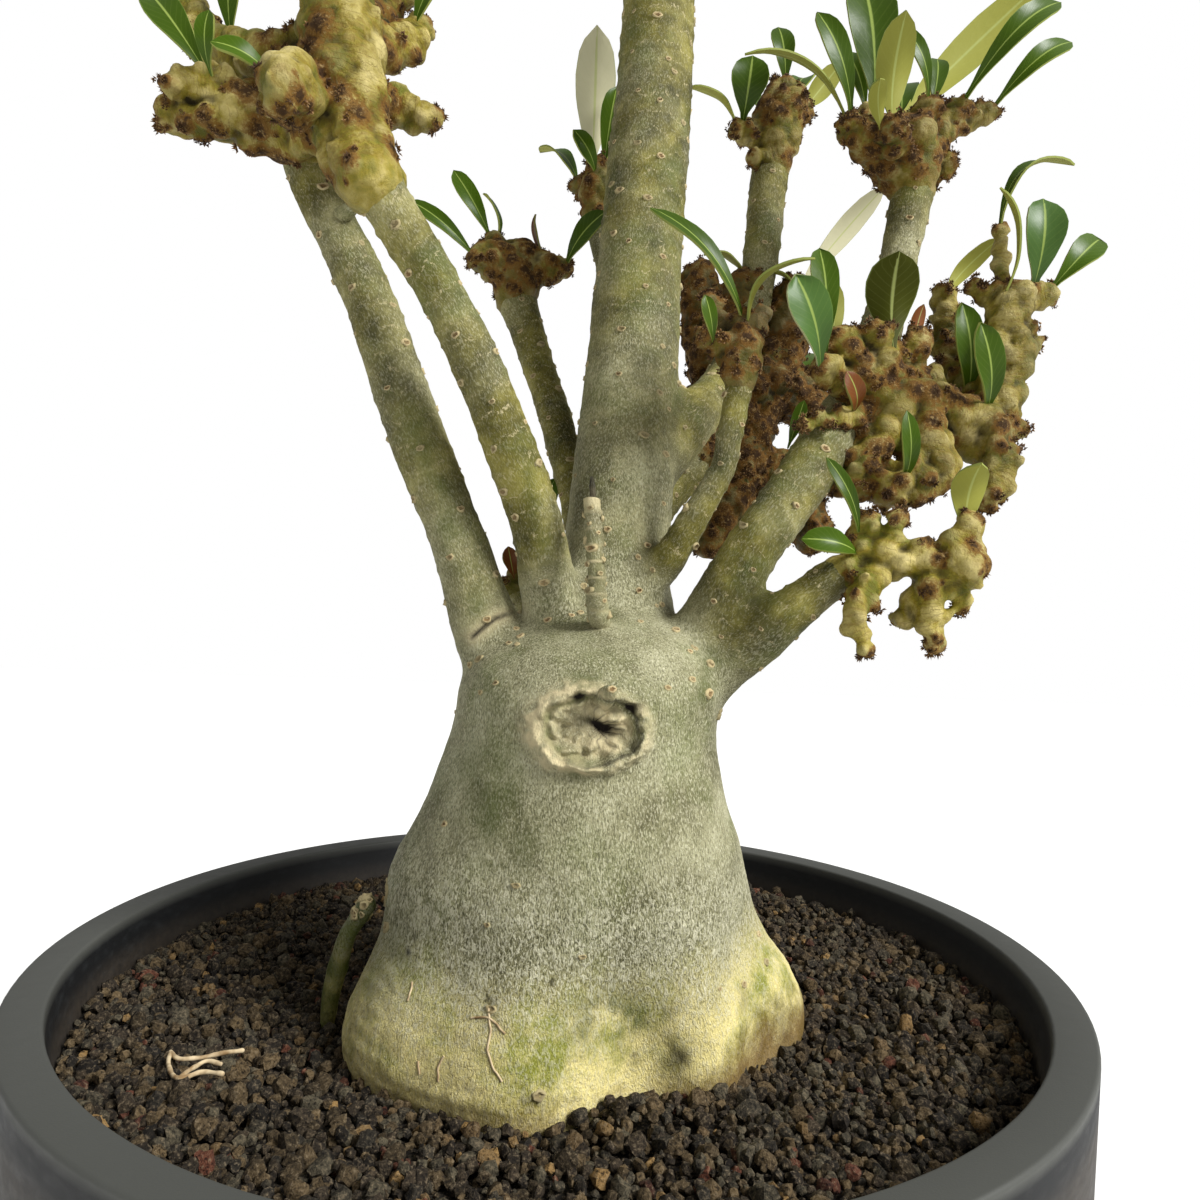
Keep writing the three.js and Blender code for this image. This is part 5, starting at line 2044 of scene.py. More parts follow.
@dataclass(frozen=True)
class Leaf:
    """One leaf, from its stalk's foot to its tip."""

    start: tuple[float, float, float]
    end: tuple[float, float, float]
    width: float
    bow: float
    faces: Facing | tuple[float, float, float] = Facing.FRONT
    kind: LeafKind = LeafKind.GREEN


@dataclass(frozen=True)
class LeafBlade:
    """What every leaf shares: its outline, its fold and its thickness."""

    columns: int = 6
    rows: int = 14
    fold: float = 0.22
    thickness: float = 0.6
    outline: tuple[tuple[float, float], ...] = (
        (0.0, 0.10), (0.15, 0.22), (0.34, 0.62), (0.55, 0.93), (0.7, 1.0), (0.85, 0.86), (0.95, 0.52),
        (1.0, 0.02),
    )

    def build(self, leaf: Leaf, tone: float, seed: int) -> bpy.types.Object:
        """Bend a grid into one leaf and give it its thickness.

        Args:
            leaf: its place and kind.
            tone: how bright it is, about 1.
            seed: which ripple its edge has.

        Returns:
            The leaf as a mesh object, its upper side in slot 0 and its underside in slot 1.
        """
        deselect()
        bpy.ops.mesh.primitive_grid_add(
            x_subdivisions=self.columns, y_subdivisions=self.rows, size=2, calc_uvs=True
        )
        blade = bpy.context.object
        unit = points_of(blade) * MM
        side, share = unit[:, 0], (unit[:, 1] + 1) / 2
        start, end = np.array(leaf.start), np.array(leaf.end)
        along = (end - start) / np.linalg.norm(end - start)
        faces = leaf.faces.value if isinstance(leaf.faces, Facing) else leaf.faces
        upper = np.array(faces) - along * np.dot(faces, along)
        upper /= np.linalg.norm(upper)
        across = np.cross(along, upper)
        middle = (start + end) / 2 + 2 * leaf.bow * upper
        t = share[:, None]
        rib = (1 - t) ** 2 * start + 2 * t * (1 - t) * middle + t**2 * end
        knots = np.array(self.outline)
        half = np.interp(share, knots[:, 0], knots[:, 1]) * leaf.width / 2
        ripple = 0.05 * leaf.width * np.sin(9 * share + seed) * side**2
        lift = self.fold * np.abs(side) ** 1.3 * half + ripple * fade(share, 0.1, 0.4)
        points = rib + across * (side * half)[:, None] + upper * lift[:, None]
        move_points(blade, points)
        store(blade, "kind", np.full(len(points), leaf.kind.value))
        store(blade, "tone", np.full(len(points), tone))
        for slot in LeafSide:
            blade.data.materials.append(bpy.data.materials[slot.value])
        apply_modifier(
            blade,
            "SOLIDIFY",
            thickness=self.thickness * MM,
            offset=0.0,
            material_offset=1,
            material_offset_rim=1,
        )
        return blade


@dataclass(frozen=True)
class HeadPlan:
    """A head: its fleshy arms as x, y, z, radius stations, and its leaves."""

    name: str
    arms: tuple[tuple[tuple[float, float, float, float], ...], ...]
    leaves: tuple[Leaf, ...]
    # crust also darkens the flesh, partly as painted shade
    crust: float = 0.4  # from 0, mostly smooth flesh, to 1, knobs and dry bracts all over


HEADS = (
    HeadPlan(
        "head_left",
        arms=(
            (
                (-51, -69.5, 406, 9.5), (-57, -68, 420, 10), (-60, -68, 440, 11.5), (-63, -66, 454, 10.5),
                (-66, -62, 467, 7.5),
            ),
            ((-66, -68, 426, 7), (-68, -80, 422, 9), (-67, -87, 418, 7)),
            ((-64, -62, 423, 8.5), (-79, -56, 427, 9.5), (-91, -61, 426, 8), (-105, -62, 425, 5.5)),
            ((-57, -60, 433, 7.5), (-48, -56, 432, 6), (-40, -54, 431, 5.5)),
            ((-56, -60, 445, 7.5), (-49, -54, 450, 6.5), (-44, -50, 458, 4.5)),
            ((-70, -60, 442, 8), (-87, -54, 445, 7.5), (-101, -48, 453, 6.5), (-119, -38, 479, 5)),
            ((-86, -60, 430, 7), (-97, -66, 432, 6), (-101, -70, 428, 4)),
            ((-58, -54, 456, 7), (-48, -46, 477, 5.5)),
        ),
        leaves=(
            Leaf((-93, -66, 432), (-112, -62, 457), 9, 4), Leaf((-91, -70, 431), (-90, -75, 444), 5, 3),
            Leaf((-75, -70, 429), (-87, -80, 433), 6, 3), Leaf((-95, -50, 451), (-97, -46, 479), 8, 4),
            Leaf((-46, -52, 455), (-37, -50, 473), 7, 4),
            Leaf((-53, -51, 458), (-56, -47, 481), 7, 3, Facing.BACK),
            Leaf((-67, -62, 466), (-80, -66, 490), 8, 5),
            Leaf((-64, -60, 468), (-62, -50, 504), 10, 5, Facing.BACK),
            Leaf((-49, -47, 477), (-37, -40, 504), 8, 4), Leaf((-66, -70, 452), (-76, -85, 458), 7, 4),
            Leaf((-117, -38, 478), (-135, -34, 504), 9, 5, Facing.BACK),
            Leaf((-119, -36, 480), (-116, -22, 518), 10, 4),
        ),
        crust=0.45,
    ),
    HeadPlan(
        "head_middle",
        arms=(
            ((-25, 30, 414, 8.5), (-24, 30, 426, 9.5), (-22, 30, 431, 7)),
            ((-26, 30, 424, 8), (-33, 26, 426, 7.5), (-39, 24, 426, 5)),
            ((-31, 28, 427, 7), (-33, 30, 436, 4.5)),
            ((-22, 30, 426, 8), (-14, 30, 426, 6.5), (-7, 30, 426, 4.5)),
        ),
        leaves=(
            Leaf((-38, 24, 425), (-61, 16, 442), 6, 4), Leaf((-34, 30, 435), (-48, 26, 458), 7, 3),
            Leaf((-32, 30, 434), (-38, 32, 453), 5, 3, Facing.RIGHT),
            Leaf((-14, 31, 429), (-19, 34, 447), 4, 2, Facing.LEFT, LeafKind.DRIED),
            Leaf((-7, 29, 426), (7, 19, 442), 8, 4), Leaf((-8, 33, 428), (1, 45, 455), 5, 3, Facing.BACK),
        ),
        crust=0.7,
    ),
    HeadPlan(
        "head_low_back",
        arms=(
            ((-17, 4, 304, 4.5), (-20, 6, 310, 5), (-18, 8, 316, 3.5)),
            ((-19, 7, 312, 4), (-15, 9, 326, 2.5)), ((-20, 6, 308, 4), (-25, 5, 311, 3)),
        ),
        leaves=(
            Leaf((-15, 9, 324), (-7, 8, 347), 7, 2),
            Leaf((-19, 3, 313), (-21, 0, 323), 5, 1, kind=LeafKind.DRIED),
        ),
        crust=0.7,
    ),
    HeadPlan(
        "head_behind_trunk",
        arms=(
            ((4, 38, 448, 6.5), (4, 38, 457, 8), (3, 36, 467, 5.5)), ((4, 38, 457, 6), (9, 47, 469, 6)),
            ((4, 38, 455, 6), (-4, 42, 462, 4.5)),
        ),
        leaves=(
            Leaf((1, 34, 464), (1, 30, 515), 15, 6, Facing.BACK, LeafKind.BLUISH),
            Leaf((5, 36, 464), (9, 34, 495), 8, 4), Leaf((2, 34, 462), (-6, 24, 473), 7, 3),
            Leaf((8, 46, 468), (15, 62, 496), 10, 5, Facing.UP),
            Leaf((-4, 42, 461), (-20, 56, 482), 9, 5, Facing.UP),
        ),
        crust=0.7,
    ),
    HeadPlan(
        "head_back_right",
        arms=(
            ((69, 54, 476, 8), (71, 54, 488, 10), (73, 54, 499, 11), (75, 54, 508, 7.5)),
            ((68, 54, 488, 7), (60, 50, 489, 6), (55, 48, 489, 5)), ((70, 52, 482, 5), (61, 46, 477, 4)),
            ((74, 54, 494, 7), (82, 56, 502, 5)), ((72, 56, 494, 7), (70, 66, 500, 5.5)),
        ),
        leaves=(
            Leaf((57, 48, 491), (59, 40, 512), 14, 4), Leaf((74, 54, 508), (71, 56, 534), 9, 4),
            Leaf((82, 57, 502), (98, 64, 526), 9, 3, Facing.BACK),
            Leaf((55, 48, 490), (35, 40, 499), 7, 4, Facing.UP),
            Leaf((70, 66, 499), (60, 84, 522), 11, 5, Facing.UP),
            Leaf((78, 60, 503), (88, 80, 528), 10, 5, Facing.UP),
        ),
        crust=0.6,
    ),
    HeadPlan(
        "head_upper_right",
        arms=(
            ((110, 12, 450, 8.5), (108, 11, 457, 12.5), (105, 10, 465, 14)),
            ((99, 8, 461, 8.5), (90, 4, 462, 7), (85, 2, 466, 5)), ((99, 14, 466, 7.5), (96, 20, 480, 5)),
            ((100, 2, 459, 7), (97, -7, 460, 5.5)), ((108, 8, 464, 8), (113, 6, 475, 5.5)),
            ((112, 12, 463, 8), (122, 14, 473, 6.5), (126, 14, 479, 5.5)),
            ((123, 14, 474, 5.5), (132, 16, 477, 5), (137, 16, 479, 4.5)),
            ((114, 14, 457, 7), (122, 12, 459, 5)), ((106, 14, 466, 8), (110, 26, 478, 6)),
        ),
        leaves=(
            Leaf((85, 2, 466), (48, -16, 476), 5, 8, Facing.UP), Leaf((86, 2, 467), (72, -6, 497), 9, 5),
            Leaf((98, 18, 477), (95, 26, 531), 18, 6), Leaf((96, 20, 479), (90, 30, 508), 8, 4),
            Leaf((97, -7, 460), (98, -14, 493), 12, 6, Facing.BACK),
            Leaf((94, -6, 458), (89, -19, 468), 6, 3, Facing.BACK),
            Leaf((106, 20, 476), (164, 32, 540), 14, 10, Facing.BACK),
            Leaf((112, 5, 475), (101, 0, 497), 6, 5), Leaf((114, 7, 474), (118, 14, 496), 7, 3),
            Leaf((126, 14, 479), (155, 4, 510), 9, 12), Leaf((137, 16, 479), (163, 12, 502), 8, 8),
            Leaf((110, 26, 477), (116, 50, 508), 13, 6, Facing.UP),
        ),
        crust=0.6,
    ),
    HeadPlan(
        "head_small",
        arms=(
            ((45, -46, 366, 5), (45, -46, 374, 7), (45, -44, 383, 5)),
            ((43, -46, 375, 5), (35, -48, 377, 3.5)), ((47, -43, 378, 4.5), (52, -37, 388, 3.5)),
            ((42, -42, 379, 4.5), (37, -37, 391, 3)),
        ),
        leaves=(
            Leaf((46, -45, 381), (19, -50, 411), 6.5, 6, (0.5, -1.0, 0.5)),
            Leaf((47, -46, 378), (62, -57, 396), 6, 7, Facing.UP),
            Leaf((37, -49, 375), (34, -53, 387), 4, 2),
        ),
        crust=0.85,
    ),
    HeadPlan(
        "head_shaded",
        arms=(
            ((38, 30, 358, 9.5), (47, 40, 378, 13), (69, 50, 390, 14), (84, 50, 387, 11)),
            ((52, 44, 386, 11), (47, 42, 402, 11), (41, 40, 430, 7)),
            ((50, 44, 412, 9.5), (61, 46, 428, 9)),
            ((69, 50, 392, 11), (75, 52, 410, 11), (80, 50, 430, 7.5)),
            ((64, 50, 384, 11), (60, 46, 364, 12), (55, 42, 346, 10.5), (48, 40, 329, 7.5)),
            ((62, 46, 362, 9.5), (78, 46, 354, 10.5), (88, 45, 333, 8)),
            ((57, 43, 346, 8.5), (67, 41, 337, 6.5)),
            ((82, 50, 387, 9), (94, 44, 370, 9), (96, 42, 353, 7.5)),
        ),
        leaves=(
            Leaf((80, 50, 428), (115, 58, 474), 9, 7, Facing.BACK, LeafKind.BLUISH),
            Leaf((60, 46, 431), (43, 38, 436), 7, 3, Facing.UP),
            Leaf((62, 46, 431), (78, 44, 428), 6, 3, Facing.UP), Leaf((76, 40, 366), (80, 33, 382), 5, 2),
            Leaf((66, 56, 399), (52, 78, 420), 12, 5, Facing.UP),
            Leaf((86, 58, 392), (98, 80, 412), 12, 5, Facing.UP),
        ),
        crust=0.9,
    ),
    HeadPlan(
        "head_right",
        arms=(
            ((82, -32, 360, 8), (92, -33, 366, 11), (104, -32, 361, 9.5), (119, -32, 357, 8.5)),
            ((84, -33, 366, 7.5), (77, -36, 376, 7.5), (74, -38, 382, 5.5)),
            ((87, -34, 369, 8), (85, -38, 383, 6)), ((93, -32, 370, 7.5), (97, -34, 384, 5)),
            ((96, -29, 369, 7), (105, -25, 374, 5), (109, -23, 370, 4)),
            ((80, -37, 368, 6), (68, -42, 372, 5)),
            ((80, -37, 360, 5), (70, -44, 357, 3.5), (62, -46, 355, 2)),
            ((118, -31, 357, 8.5), (124, -28, 370, 7.5), (125, -28, 385, 8.5), (128, -28, 399, 7)),
            ((125, -28, 384, 6), (134, -26, 385, 3.5)), ((127, -28, 397, 5.5), (138, -26, 401, 4)),
            ((125, -27, 396, 5), (117, -24, 403, 3.5)), ((125, -25, 400, 3.8), (125, -22, 421, 2.6)),
            ((118, -28, 360, 7), (117, -16, 374, 7), (116, -8, 389, 6.5), (116, -4, 408, 5)),
            ((117, -35, 354, 7), (121, -38, 346, 6), (115, -40, 337, 4)),
            ((119, -33, 356, 6), (128, -32, 359, 3.5)),
            ((100, -36, 357, 8), (98, -41, 345, 8.5), (86, -44, 338, 7)),
            ((88, -35, 358, 7), (83, -37, 350, 7), (78, -42, 339, 6)),
        ),
        leaves=(
            Leaf((88, -41, 378), (87, -47, 403), 15, 4, Facing.BACK, LeafKind.OLIVE),
            Leaf((67, -44, 371), (58, -51, 394), 12, 4, kind=LeafKind.BLUISH),
            Leaf((69, -41, 374), (68, -35, 408), 8, 5),
            Leaf((73, -38, 380), (75, -30, 400), 6, 3, Facing.BACK),
            Leaf((97, -34, 382), (101, -27, 396), 4, 2, Facing.BACK, LeafKind.DRIED),
            Leaf((77, -40, 360), (73, -49, 369), 6, 3, kind=LeafKind.DRIED),
            Leaf((90, -43, 340), (88, -53, 358), 5, 5), Leaf((117, -33, 362), (110, -45, 385), 9, 4),
            Leaf((117, -18, 368), (112, -27, 397), 9, 5),
            Leaf((123, -32, 399), (118, -38, 426), 5, 4, Facing.RIGHT),
            Leaf((132, -28, 400), (134, -30, 427), 12, 4, kind=LeafKind.BLUISH),
            Leaf((125, -22, 419), (147, -22, 442), 7, 10, Facing.UP),
            Leaf((116, -4, 407), (134, -2, 428), 6, 6, Facing.BACK),
            Leaf((138, -25, 401), (156, -20, 420), 9, 5),
        ),
        crust=0.5,
    ),
    HeadPlan(
        "head_hanging",
        arms=(
            ((71, -54, 314, 6.5), (79, -56, 318, 6), (89, -59, 318, 6.5), (99, -60, 315, 6)),
            ((78, -56, 318, 5.5), (77, -56, 328, 5)), ((82, -58, 318, 4.5), (84, -60, 329, 3)),
            ((79, -58, 315, 5), (74, -64, 308, 5), (72, -66, 303, 4.5), (75, -66, 295, 2.5)),
            ((96, -60, 317, 6), (101, -60, 323, 6.5), (103, -60, 328, 5)),
            ((98, -60, 315, 6), (102, -63, 318, 6)),
            ((93, -60, 314, 5.5), (92, -58, 308, 6), (94, -58, 302, 5), (95, -58, 297, 3)),
            ((92, -57, 309, 5), (88, -54, 303, 4)), ((98, -60, 312, 4.5), (102, -58, 307, 3)),
            ((76, -54, 316, 5.5), (82, -46, 319, 5.5)),
        ),
        leaves=(
            Leaf((101, -62, 324), (102, -67, 342), 9, 4, Facing.BACK),
            Leaf((75, -57, 319), (59, -64, 322), 7, 3), Leaf((75, -57, 324), (65, -62, 343), 4, 4),
        ),
        crust=0.32,
    ),
)


@dataclass
class Crown:
    """The trunk's own head, above the photograph: arms and leaves placed round the trunk by rule."""

    core: tuple[tuple[float, ...], ...] = ((23, 8, 547, 12), (23, 8, 560, 13.5), (24, 8, 574, 9))
    arms: int = 5
    arm_reach: float = 24.0
    arm_rise: float = 18.0
    arm_radius: float = 8.0
    root_offset: float = 4.0
    first_rise: float = 0.7
    next_rise: float = 0.1
    leaves_per_arm: int = 2
    leaf_spread: float = 1.1
    leaf_reach: float = 24.0
    leaf_rise: float = 34.0
    leaf_droop: float = 0.25
    leaf_width: float = 12.0
    leaf_bow: float = 4.0

    def plan(self) -> HeadPlan:
        """Work out the crown's arms and leaves.

        Returns:
            A plan like the other heads'.
        """
        x, y, z, _ = self.core[1]
        arms, leaves = [self.core], []
        for i in range(self.arms):
            angle = i * GOLDEN_ANGLE
            rise = self.arm_rise * (self.first_rise + self.next_rise * i)
            stations = []
            for reach, height, radius in (
                (self.root_offset, 0, self.arm_radius),
                (0.6 * self.arm_reach, 0.4 * rise, 0.9 * self.arm_radius),
                (self.arm_reach, rise, 0.6 * self.arm_radius),
            ):
                east, north = math.cos(angle) * reach, math.sin(angle) * reach
                stations.append((x + east, y + north, z + height, radius))
            arms.append(tuple(stations))
            tip = stations[-1][:3]
            for j in range(self.leaves_per_arm):
                turn = angle + (j - (self.leaves_per_arm - 1) / 2) * self.leaf_spread
                out = (math.cos(turn), math.sin(turn))
                end = (
                    tip[0] + out[0] * self.leaf_reach,
                    tip[1] + out[1] * self.leaf_reach,
                    tip[2] + self.leaf_rise * (1 - self.leaf_droop * j),
                )
                faces = (-0.6 * out[0], -0.6 * out[1], 1.0)
                leaves.append(Leaf(tip, end, self.leaf_width, self.leaf_bow, faces))
        return HeadPlan("head_crown", tuple(arms), tuple(leaves))


@dataclass(frozen=True)
class Knobs:
    """The knobs of one head: where each is rooted, where it points, how long, thick and dry it is."""

    roots: np.ndarray
    ways: np.ndarray
    reaches: np.ndarray
    radii: np.ndarray
    dry: np.ndarray

    @property
    def tips(self) -> np.ndarray:
        """Where each knob ends."""
        return self.roots + self.ways * self.reaches[:, None]


@dataclass
class Head:
    """A grafted flowering head: fleshy arms covered in knobs, dry bracts on their ends, and leaves."""

    plan: HeadPlan
    seed: int
    flesh: bpy.types.Material
    bract: bpy.types.Material
    arm_share: float = 0.62  # of its station's radius, as the knobs stand out from it
    graft_share: float = 0.88  # the same where the first arm is grafted
    graft_length: float = 14.0  # over which the one becomes the other
    arm_step: float = 1.5  # between two points of an arm
    knob_step: float = 0.7  # the same where its knobs are set
    knob_radii: tuple[float, float] = (1.7, 5.2)
    wide_pitch: float = 7.8
    close_pitch: float = 6.0
    upturn: float = 0.35
    spreading: int = 6  # the scales of a rosette that spread
    standing: int = 3  # those that stand
    voxel: float = 0.8
    blade: LeafBlade = field(default_factory=LeafBlade)

    def place_knobs(self) -> Knobs:
        """Set knobs round each arm by the golden angle, some on its end, and small warts on them.

        Returns:
            The knobs that aren't buried in another arm.
        """
        draw = np.random.default_rng(self.seed)
        crust = self.plan.crust
        pitch = self.wide_pitch + (self.close_pitch - self.wide_pitch) * crust
        routes = [even_route(arm, self.knob_step) for arm in self.plan.arms]
        thinnest, thickest = self.knob_radii
        rows = []
        for k, route in enumerate(routes):
            ahead = tangents_of(route)
            others = np.vstack([r for i, r in enumerate(routes) if i != k] or [route[:0]])
            frames = frames_along(ahead, np.zeros(len(route)))
            area = np.cumsum(2 * math.pi * route[:, 3] * self.knob_step)
            count = max(3, round(area[-1] / pitch**2))
            for i in range(count + 4):
                turn = i * GOLDEN_ANGLE + 1.3 * k + draw.normal(0, 0.25)
                on_end = i >= count
                share = (i + draw.uniform(0.1, 0.9)) / count
                at = len(route) - 1 if on_end else int(np.searchsorted(area, share * area[-1]))
                at = min(at, len(route) - 1)
                side = frames[at, :, 0] * math.cos(turn) + frames[at, :, 1] * math.sin(turn)
                lift = draw.uniform(0.9, 2.2) if on_end else self.upturn + draw.uniform(-0.3, 0.4)
                way = side + lift * ahead[at]
                way /= np.linalg.norm(way)
                full = route[at, 3]
                radius = min(thickest, max(thinnest, full * draw.uniform(0.3, 0.56)))
                root = route[at, :3] + side * full * (0.3 if on_end else 0.45)
                reach = full * draw.uniform(0.38, 0.62)
                dryness = noise.noise(Vector(root / 12.0 + self.seed)) + draw.normal(0, 0.12)
                dry = dryness > 0.3 - 0.75 * crust or (on_end and draw.uniform(0, 1) < 0.5 + 0.5 * crust)
                tip = root + way * reach
                if len(others):
                    gap = np.linalg.norm(others[:, :3] - tip, axis=1) - others[:, 3] * self.arm_share
                    if gap.min() < 0.3:
                        continue
                rows.append((*root, *way, reach, radius, float(dry)))
                for _ in range(draw.integers(1, 4) if dry else draw.integers(0, 2)):
                    aim = way + draw.normal(0, 0.55, 3)
                    aim /= np.linalg.norm(aim)
                    middle = tip - way * radius
                    wart = draw.uniform(0.8, 1.35)
                    rows.append((*middle, *aim, radius + wart * draw.uniform(0.5, 1.2), wart, float(dry)))
        table = np.array(rows)
        return Knobs(table[:, :3], table[:, 3:6], table[:, 6], table[:, 7], table[:, 8])

    def grow_flesh(self, knobs: Knobs) -> bpy.types.Object:
        """Join arms and knobs into one skin.

        Args:
            knobs: the head's knobs.

        Returns:
            The fleshy part of the head, with the attributes that its finish reads.
        """
        parts = []
        routes = [even_route(arm, self.arm_step) for arm in self.plan.arms]
        for i, route in enumerate(routes):
            run = np.arange(len(route)) * self.arm_step
            grafted = fade(run, self.graft_length, 0.0) if i == 0 else np.zeros(len(route))
            slim = route.copy()
            slim[:, 3] *= self.arm_share + (self.graft_share - self.arm_share) * grafted
            slim[:, 3] *= 1 + 0.12 * rough(route[:, :3], 7.0, 2)
            parts.append(tube(f"arm_{i}", rounded(slim, start=True), 5))
        deselect()
        bpy.ops.mesh.primitive_ico_sphere_add(subdivisions=2, radius=1 * MM)
        ball = bpy.context.object
        frames = frames_along(knobs.ways, np.zeros(len(knobs.ways)))
        for step, swell in ((0.3, 1.15), (0.65, 1.05), (1.0, 1.0)):
            centres = knobs.roots + knobs.ways * (knobs.reaches - knobs.radii)[:, None] * step
            spread = frames * (knobs.radii * swell)[:, None, None]
            parts.append(scatter(f"knob_{step}", ball, centres, spread, knobs.radii))
        discard(ball)
        flesh = join(f"{self.plan.name}_flesh", parts)
        flesh.data.attributes.remove(flesh.data.attributes["tone"])
        apply_modifier(flesh, "REMESH", mode="VOXEL", voxel_size=self.voxel * MM)
        apply_modifier(flesh, "SMOOTH", factor=0.5, iterations=1)
        points = points_of(flesh)
        push = 0.3 * rough(points, 2.4, 2) + 0.4 * rough(points, 8.0, 1)
        move_points(flesh, points + normals_of(flesh) * push[:, None])
        shade(flesh)
        self.mark(flesh, knobs, routes)
        return flesh

    def mark(self, flesh: bpy.types.Object, knobs: Knobs, routes: list[np.ndarray]) -> None:
        """Store what the flesh's finish reads: dry ends, relief, place along the arm, and how old it is
        with its painted shade.

        Args:
            flesh: the joined skin of arms and knobs.
            knobs: the head's knobs.
            routes: the arms' points as rows of x, y, z, radius.
        """
        points = points_of(flesh)
        dry = np.flatnonzero(knobs.dry > 0.5)
        ends = search_tree(knobs.tips[dry])
        reach = np.full(len(points), 6.0)
        for i, row in enumerate(points):
            for _, name, gap in ends.find_n(row, 3):
                reach[i] = min(reach[i], gap / (0.4 + 0.9 * knobs.radii[dry[name]]))
        line = np.vstack(routes)
        runs = np.concatenate([self.arm_step * np.arange(len(route)) for route in routes])
        arms = search_tree(line[:, :3])
        along = np.zeros(len(points))
        for i, row in enumerate(points):
            near = arms.find_n(row, 4)
            weights = np.array([1 / (0.1 + hit[2]) ** 4 for hit in near])
            along[i] = (weights * runs[[hit[1] for hit in near]]).sum() / weights.sum()
        store(flesh, "tip", reach)
        store(flesh, "along", along)
        store(flesh, "relief", relief_of(flesh, 60))
        # older and darker with more crust; the darkest are partly painted shade for the heads in shadow
        age = np.clip(self.plan.crust * 1.3 - 0.3 + 0.3 * rough(points, 14.0, 2), 0, 1)
        store(flesh, "age", age)

    def bract_shape(self) -> bpy.types.Object:
        """A rosette of dry bracts: some spread and some stand, each a thin pointed scale.

        Returns:
            The rosette at the origin, its tips about 1.5 mm out.
        """
        mesh = bpy.data.meshes.new("bract")
        places, faces, blades = [], [], []
        for i in range(self.spreading + self.standing):
            standing = i >= self.spreading
            turn = i * GOLDEN_ANGLE
            out = np.array([math.cos(turn), math.sin(turn), 0])
            side = np.array([-out[1], out[0], 0])
            foot = 0.35 if standing else 0.85
            reach, rise = (0.6, 1.3) if standing else (1.35 + 0.2 * (i % 2), 0.35 + 0.25 * (i % 3))
            low = out * foot
            first = len(places)
            places += [low - side * 0.5, low + side * 0.5, low + [0, 0, 0.45], out * reach + [0, 0, rise]]
            blades += [0.0, 0.0, 0.2, 1.0]
            sides = ((0, 2, 1), (0, 1, 3), (1, 2, 3), (2, 0, 3))
            faces += [[first + corner for corner in corners] for corners in sides]
        mesh.from_pydata([tuple(p * MM) for p in np.array(places)], [], faces)
        piece = new_object("bract", mesh)
        store(piece, "blade", np.array(blades))
        activate(piece)
        bpy.ops.object.mode_set(mode="EDIT")
        bpy.ops.mesh.select_all(action="SELECT")
        bpy.ops.mesh.normals_make_consistent(inside=False)
        bpy.ops.object.mode_set(mode="OBJECT")
        return piece

    def set_bracts(self, knobs: Knobs) -> bpy.types.Object:
        """Put a rosette on each dry knob.

        Args:
            knobs: the head's knobs.

        Returns:
            All of them as one piece.
        """
        draw = np.random.default_rng(self.seed + 1)
        dry = np.flatnonzero(knobs.dry > 0.5)
        count = len(dry)
        lean = unit(knobs.ways[dry] + draw.normal(0, 0.45, (count, 3)))
        frames = frames_along(lean, draw.uniform(0, 2 * math.pi, count))
        radii = knobs.radii[dry]
        centres = knobs.tips[dry] - knobs.ways[dry] * radii[:, None]
        scale = draw.uniform(0.4, 1.15, count)
        stretch = draw.uniform(0.6, 1.3, (count, 1, 3)) * scale[:, None, None]
        shape = self.bract_shape()
        places = centres + lean * (radii - 0.25 * scale)[:, None]
        tones = draw.uniform(0, 0.95, count)
        bracts = scatter(f"{self.plan.name}_bracts", shape, places, frames * stretch, tones)
        discard(shape)
        bracts.data.polygons.foreach_set("use_smooth", np.zeros(len(bracts.data.polygons), bool))
        return bracts

    def unfold_leaves(self) -> bpy.types.Object:
        """Make the head's leaves.

        Returns:
            All of them as one piece.
        """
        draw = np.random.default_rng(self.seed + 2)
        tones = draw.uniform(0.8, 1.2, len(self.plan.leaves))
        blades = [
            self.blade.build(leaf, tone, self.seed + i)
            for i, (leaf, tone) in enumerate(zip(self.plan.leaves, tones))
        ]
        leaves = join(f"{self.plan.name}_leaves", blades)
        shade(leaves, 60)
        return leaves

    def build(self) -> None:
        """Build and dress the flesh, the bracts and the leaves."""
        knobs = self.place_knobs()
        flesh = self.grow_flesh(knobs)
        bracts = self.set_bracts(knobs)
        leaves = self.unfold_leaves()
        name = self.plan.name
        hand_over(flesh, [self.flesh], "head", name)
        hand_over(bracts, [self.bract], "head", name)
        hand_over(leaves, [], "head", name)


@dataclass
class StrawTuft:
    """A few dry fibres of old leaf bases that stick out of the left head."""

    root: tuple[float, float, float] = (-67.0, -79.0, 449.0)
    fibres: int = 16
    length: float = 9.0
    radius: float = 0.28
    seed: int = 61

    def build(self, material: bpy.types.Material) -> None:
        """Bend each fibre from the root outwards and dress them as one piece.

        Args:
            material: what they are made of.
        """
        draw = np.random.default_rng(self.seed)
        parts = []
        for i in range(self.fibres):
            foot = np.array(self.root) + draw.normal(0, 1.6, 3)
            way = np.array([draw.normal(-0.1, 0.8), -0.6, draw.normal(0.6, 0.6)])
            way *= self.length * draw.uniform(0.5, 1.0) / np.linalg.norm(way)
            bend = foot + 0.5 * way + draw.normal(0, 0.9, 3)
            stations = ((*foot, self.radius), (*bend, self.radius), (*(foot + way), 0.4 * self.radius))
            parts.append(tube(f"fibre_{i}", even_route(stations, 1.0), 1))
        tuft = join("head_left_straw", parts)
        hand_over(tuft, [material], "head", "head_left")


# ---------------------------------------------------------------- studio


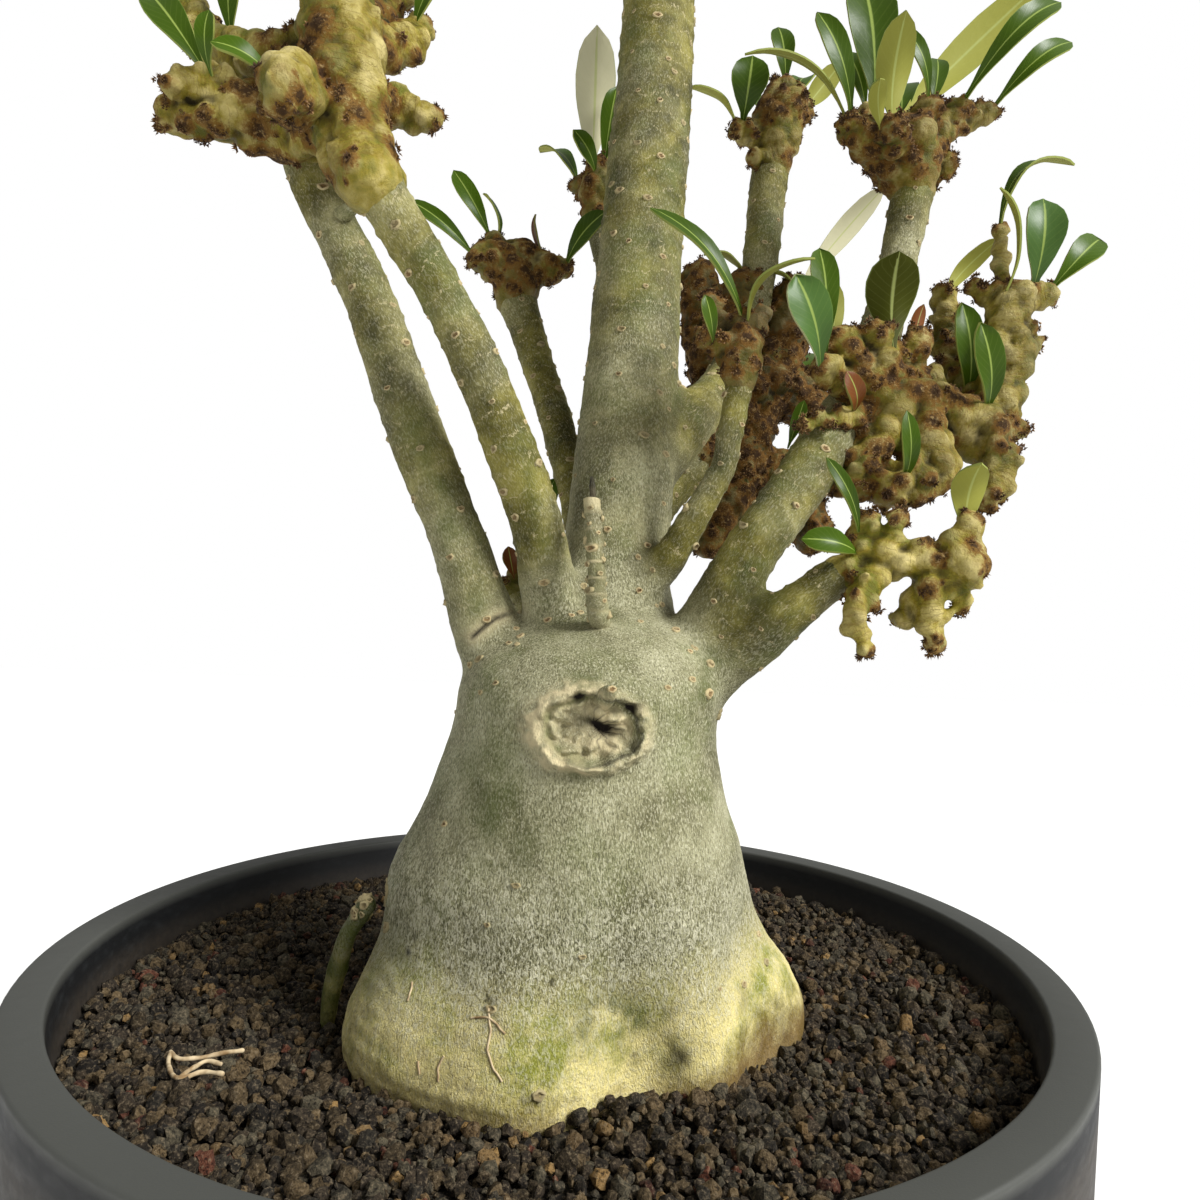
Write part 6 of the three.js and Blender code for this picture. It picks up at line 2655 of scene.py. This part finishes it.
@dataclass
class PhotoCamera:
    """The camera, as it stood for the photograph: close in front of the pot, just above its rim."""

    place: tuple[float, float, float] = (9.02, -288.4, 298.7)
    tilt: float = 91.633
    roll: float = 1.921
    lens: float = 27.0
    sensor: float = 36.0

    def build(self) -> None:
        """Add the camera and look through it."""
        data = bpy.data.cameras.new("photo_camera")
        data.lens = self.lens
        data.sensor_width = self.sensor
        data.clip_start = 0.01
        camera = new_object("photo_camera", data)
        turn = Matrix.Rotation(math.radians(self.tilt), 4, "X") @ Matrix.Rotation(
            math.radians(self.roll), 4, "Z"
        )
        camera.matrix_world = Matrix.Translation(Vector(self.place) * MM) @ turn
        bpy.context.scene.camera = camera


@dataclass
class Studio:
    """A white room with one broad soft light from above, to the right of the camera."""

    backdrop: str = "#ffffff"
    floor_colour: str = "#fbfbf9"
    floor_half: float = 4.0  # metres
    fill: float = 0.36
    key_from: tuple[float, float, float] = (0.9, -0.55, 0.85)
    key_angle: float = 22.0  # across the soft light, in degrees
    key_strength: float = 4.6

    def build(self) -> None:
        """Set up the world, the floor and the key light."""
        scene = bpy.context.scene
        scene.view_settings.view_transform = "Standard"
        world = bpy.data.worlds.new("white_room")
        scene.world = world
        world.use_nodes = True
        world.node_tree.nodes.clear()
        node = partial(add_node, world.node_tree)
        rays = node("LightPath", out="Is Camera Ray")
        strength = node("MapRange", {"Value": rays, "To Min": self.fill, "To Max": 1.0})
        light = node("Background", {"Color": self.backdrop, "Strength": strength})
        node("OutputWorld", {"Surface": light})

        deselect()
        bpy.ops.mesh.primitive_plane_add(size=2 * self.floor_half)
        floor = bpy.context.object
        floor.name = "studio_floor"
        paint, _, _ = new_material("floor_paint", {"Base Color": self.floor_colour, "Roughness": 0.9})
        floor.data.materials.append(paint)

        deselect()
        bpy.ops.object.light_add(type="SUN", location=self.key_from)
        key = bpy.context.object
        key.name = "key_light"
        key.data.energy = self.key_strength
        key.data.angle = math.radians(self.key_angle)
        key.rotation_euler = Vector(self.key_from).to_track_quat("Z", "Y").to_euler()


# ---------------------------------------------------------------- the whole part

LEAF_UPPER = LeafSkin(
    LeafSide.UPPER,
    kinds=((0.0, "#4c6a30"), (0.3, "#3c5409"), (0.55, "#4b4f08"), (0.8, "#8f8a32"), (1.0, "#70401c")),
    rib="#a3b55c",
    edge="#6f8a3c",
    gloss=0.36,
    shine=0.16,
)
LEAF_UNDER = LeafSkin(
    LeafSide.UNDER,
    # the bluish kind's pale underside is partly painted light shining through the leaf
    kinds=((0.0, "#d2ceaa"), (0.3, "#8a8a3c"), (0.55, "#3f4304"), (0.8, "#a39b4c"), (1.0, "#70401c")),
    rib="#a9b26a",
    edge="#8b9a55",
    gloss=0.6,
    shine=0.1,
)


def main() -> None:
    """Build the camera, the studio and every sub-assembly in order, and note the sizes."""
    logging.basicConfig(level=logging.INFO, format="%(message)s")
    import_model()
    PhotoCamera().build()
    Studio().build()
    pot = NurseryPot()
    pot.build()
    dry_root = DryRoot().material()
    body = PlantBody()
    body.build(dry_root)
    SoilFill(pot, body).build()
    Rootlets().build(dry_root)
    flesh = KnobFlesh().material()
    bract = PAPERY_BRACT.material()
    for skin in (LEAF_UPPER, LEAF_UNDER):
        skin.material()
    for i, plan in enumerate((*HEADS, Crown().plan())):
        Head(plan, 100 + 10 * i, flesh, bract).build()
    StrawTuft().build(dry_root)


if __name__ == "__main__":
    main()
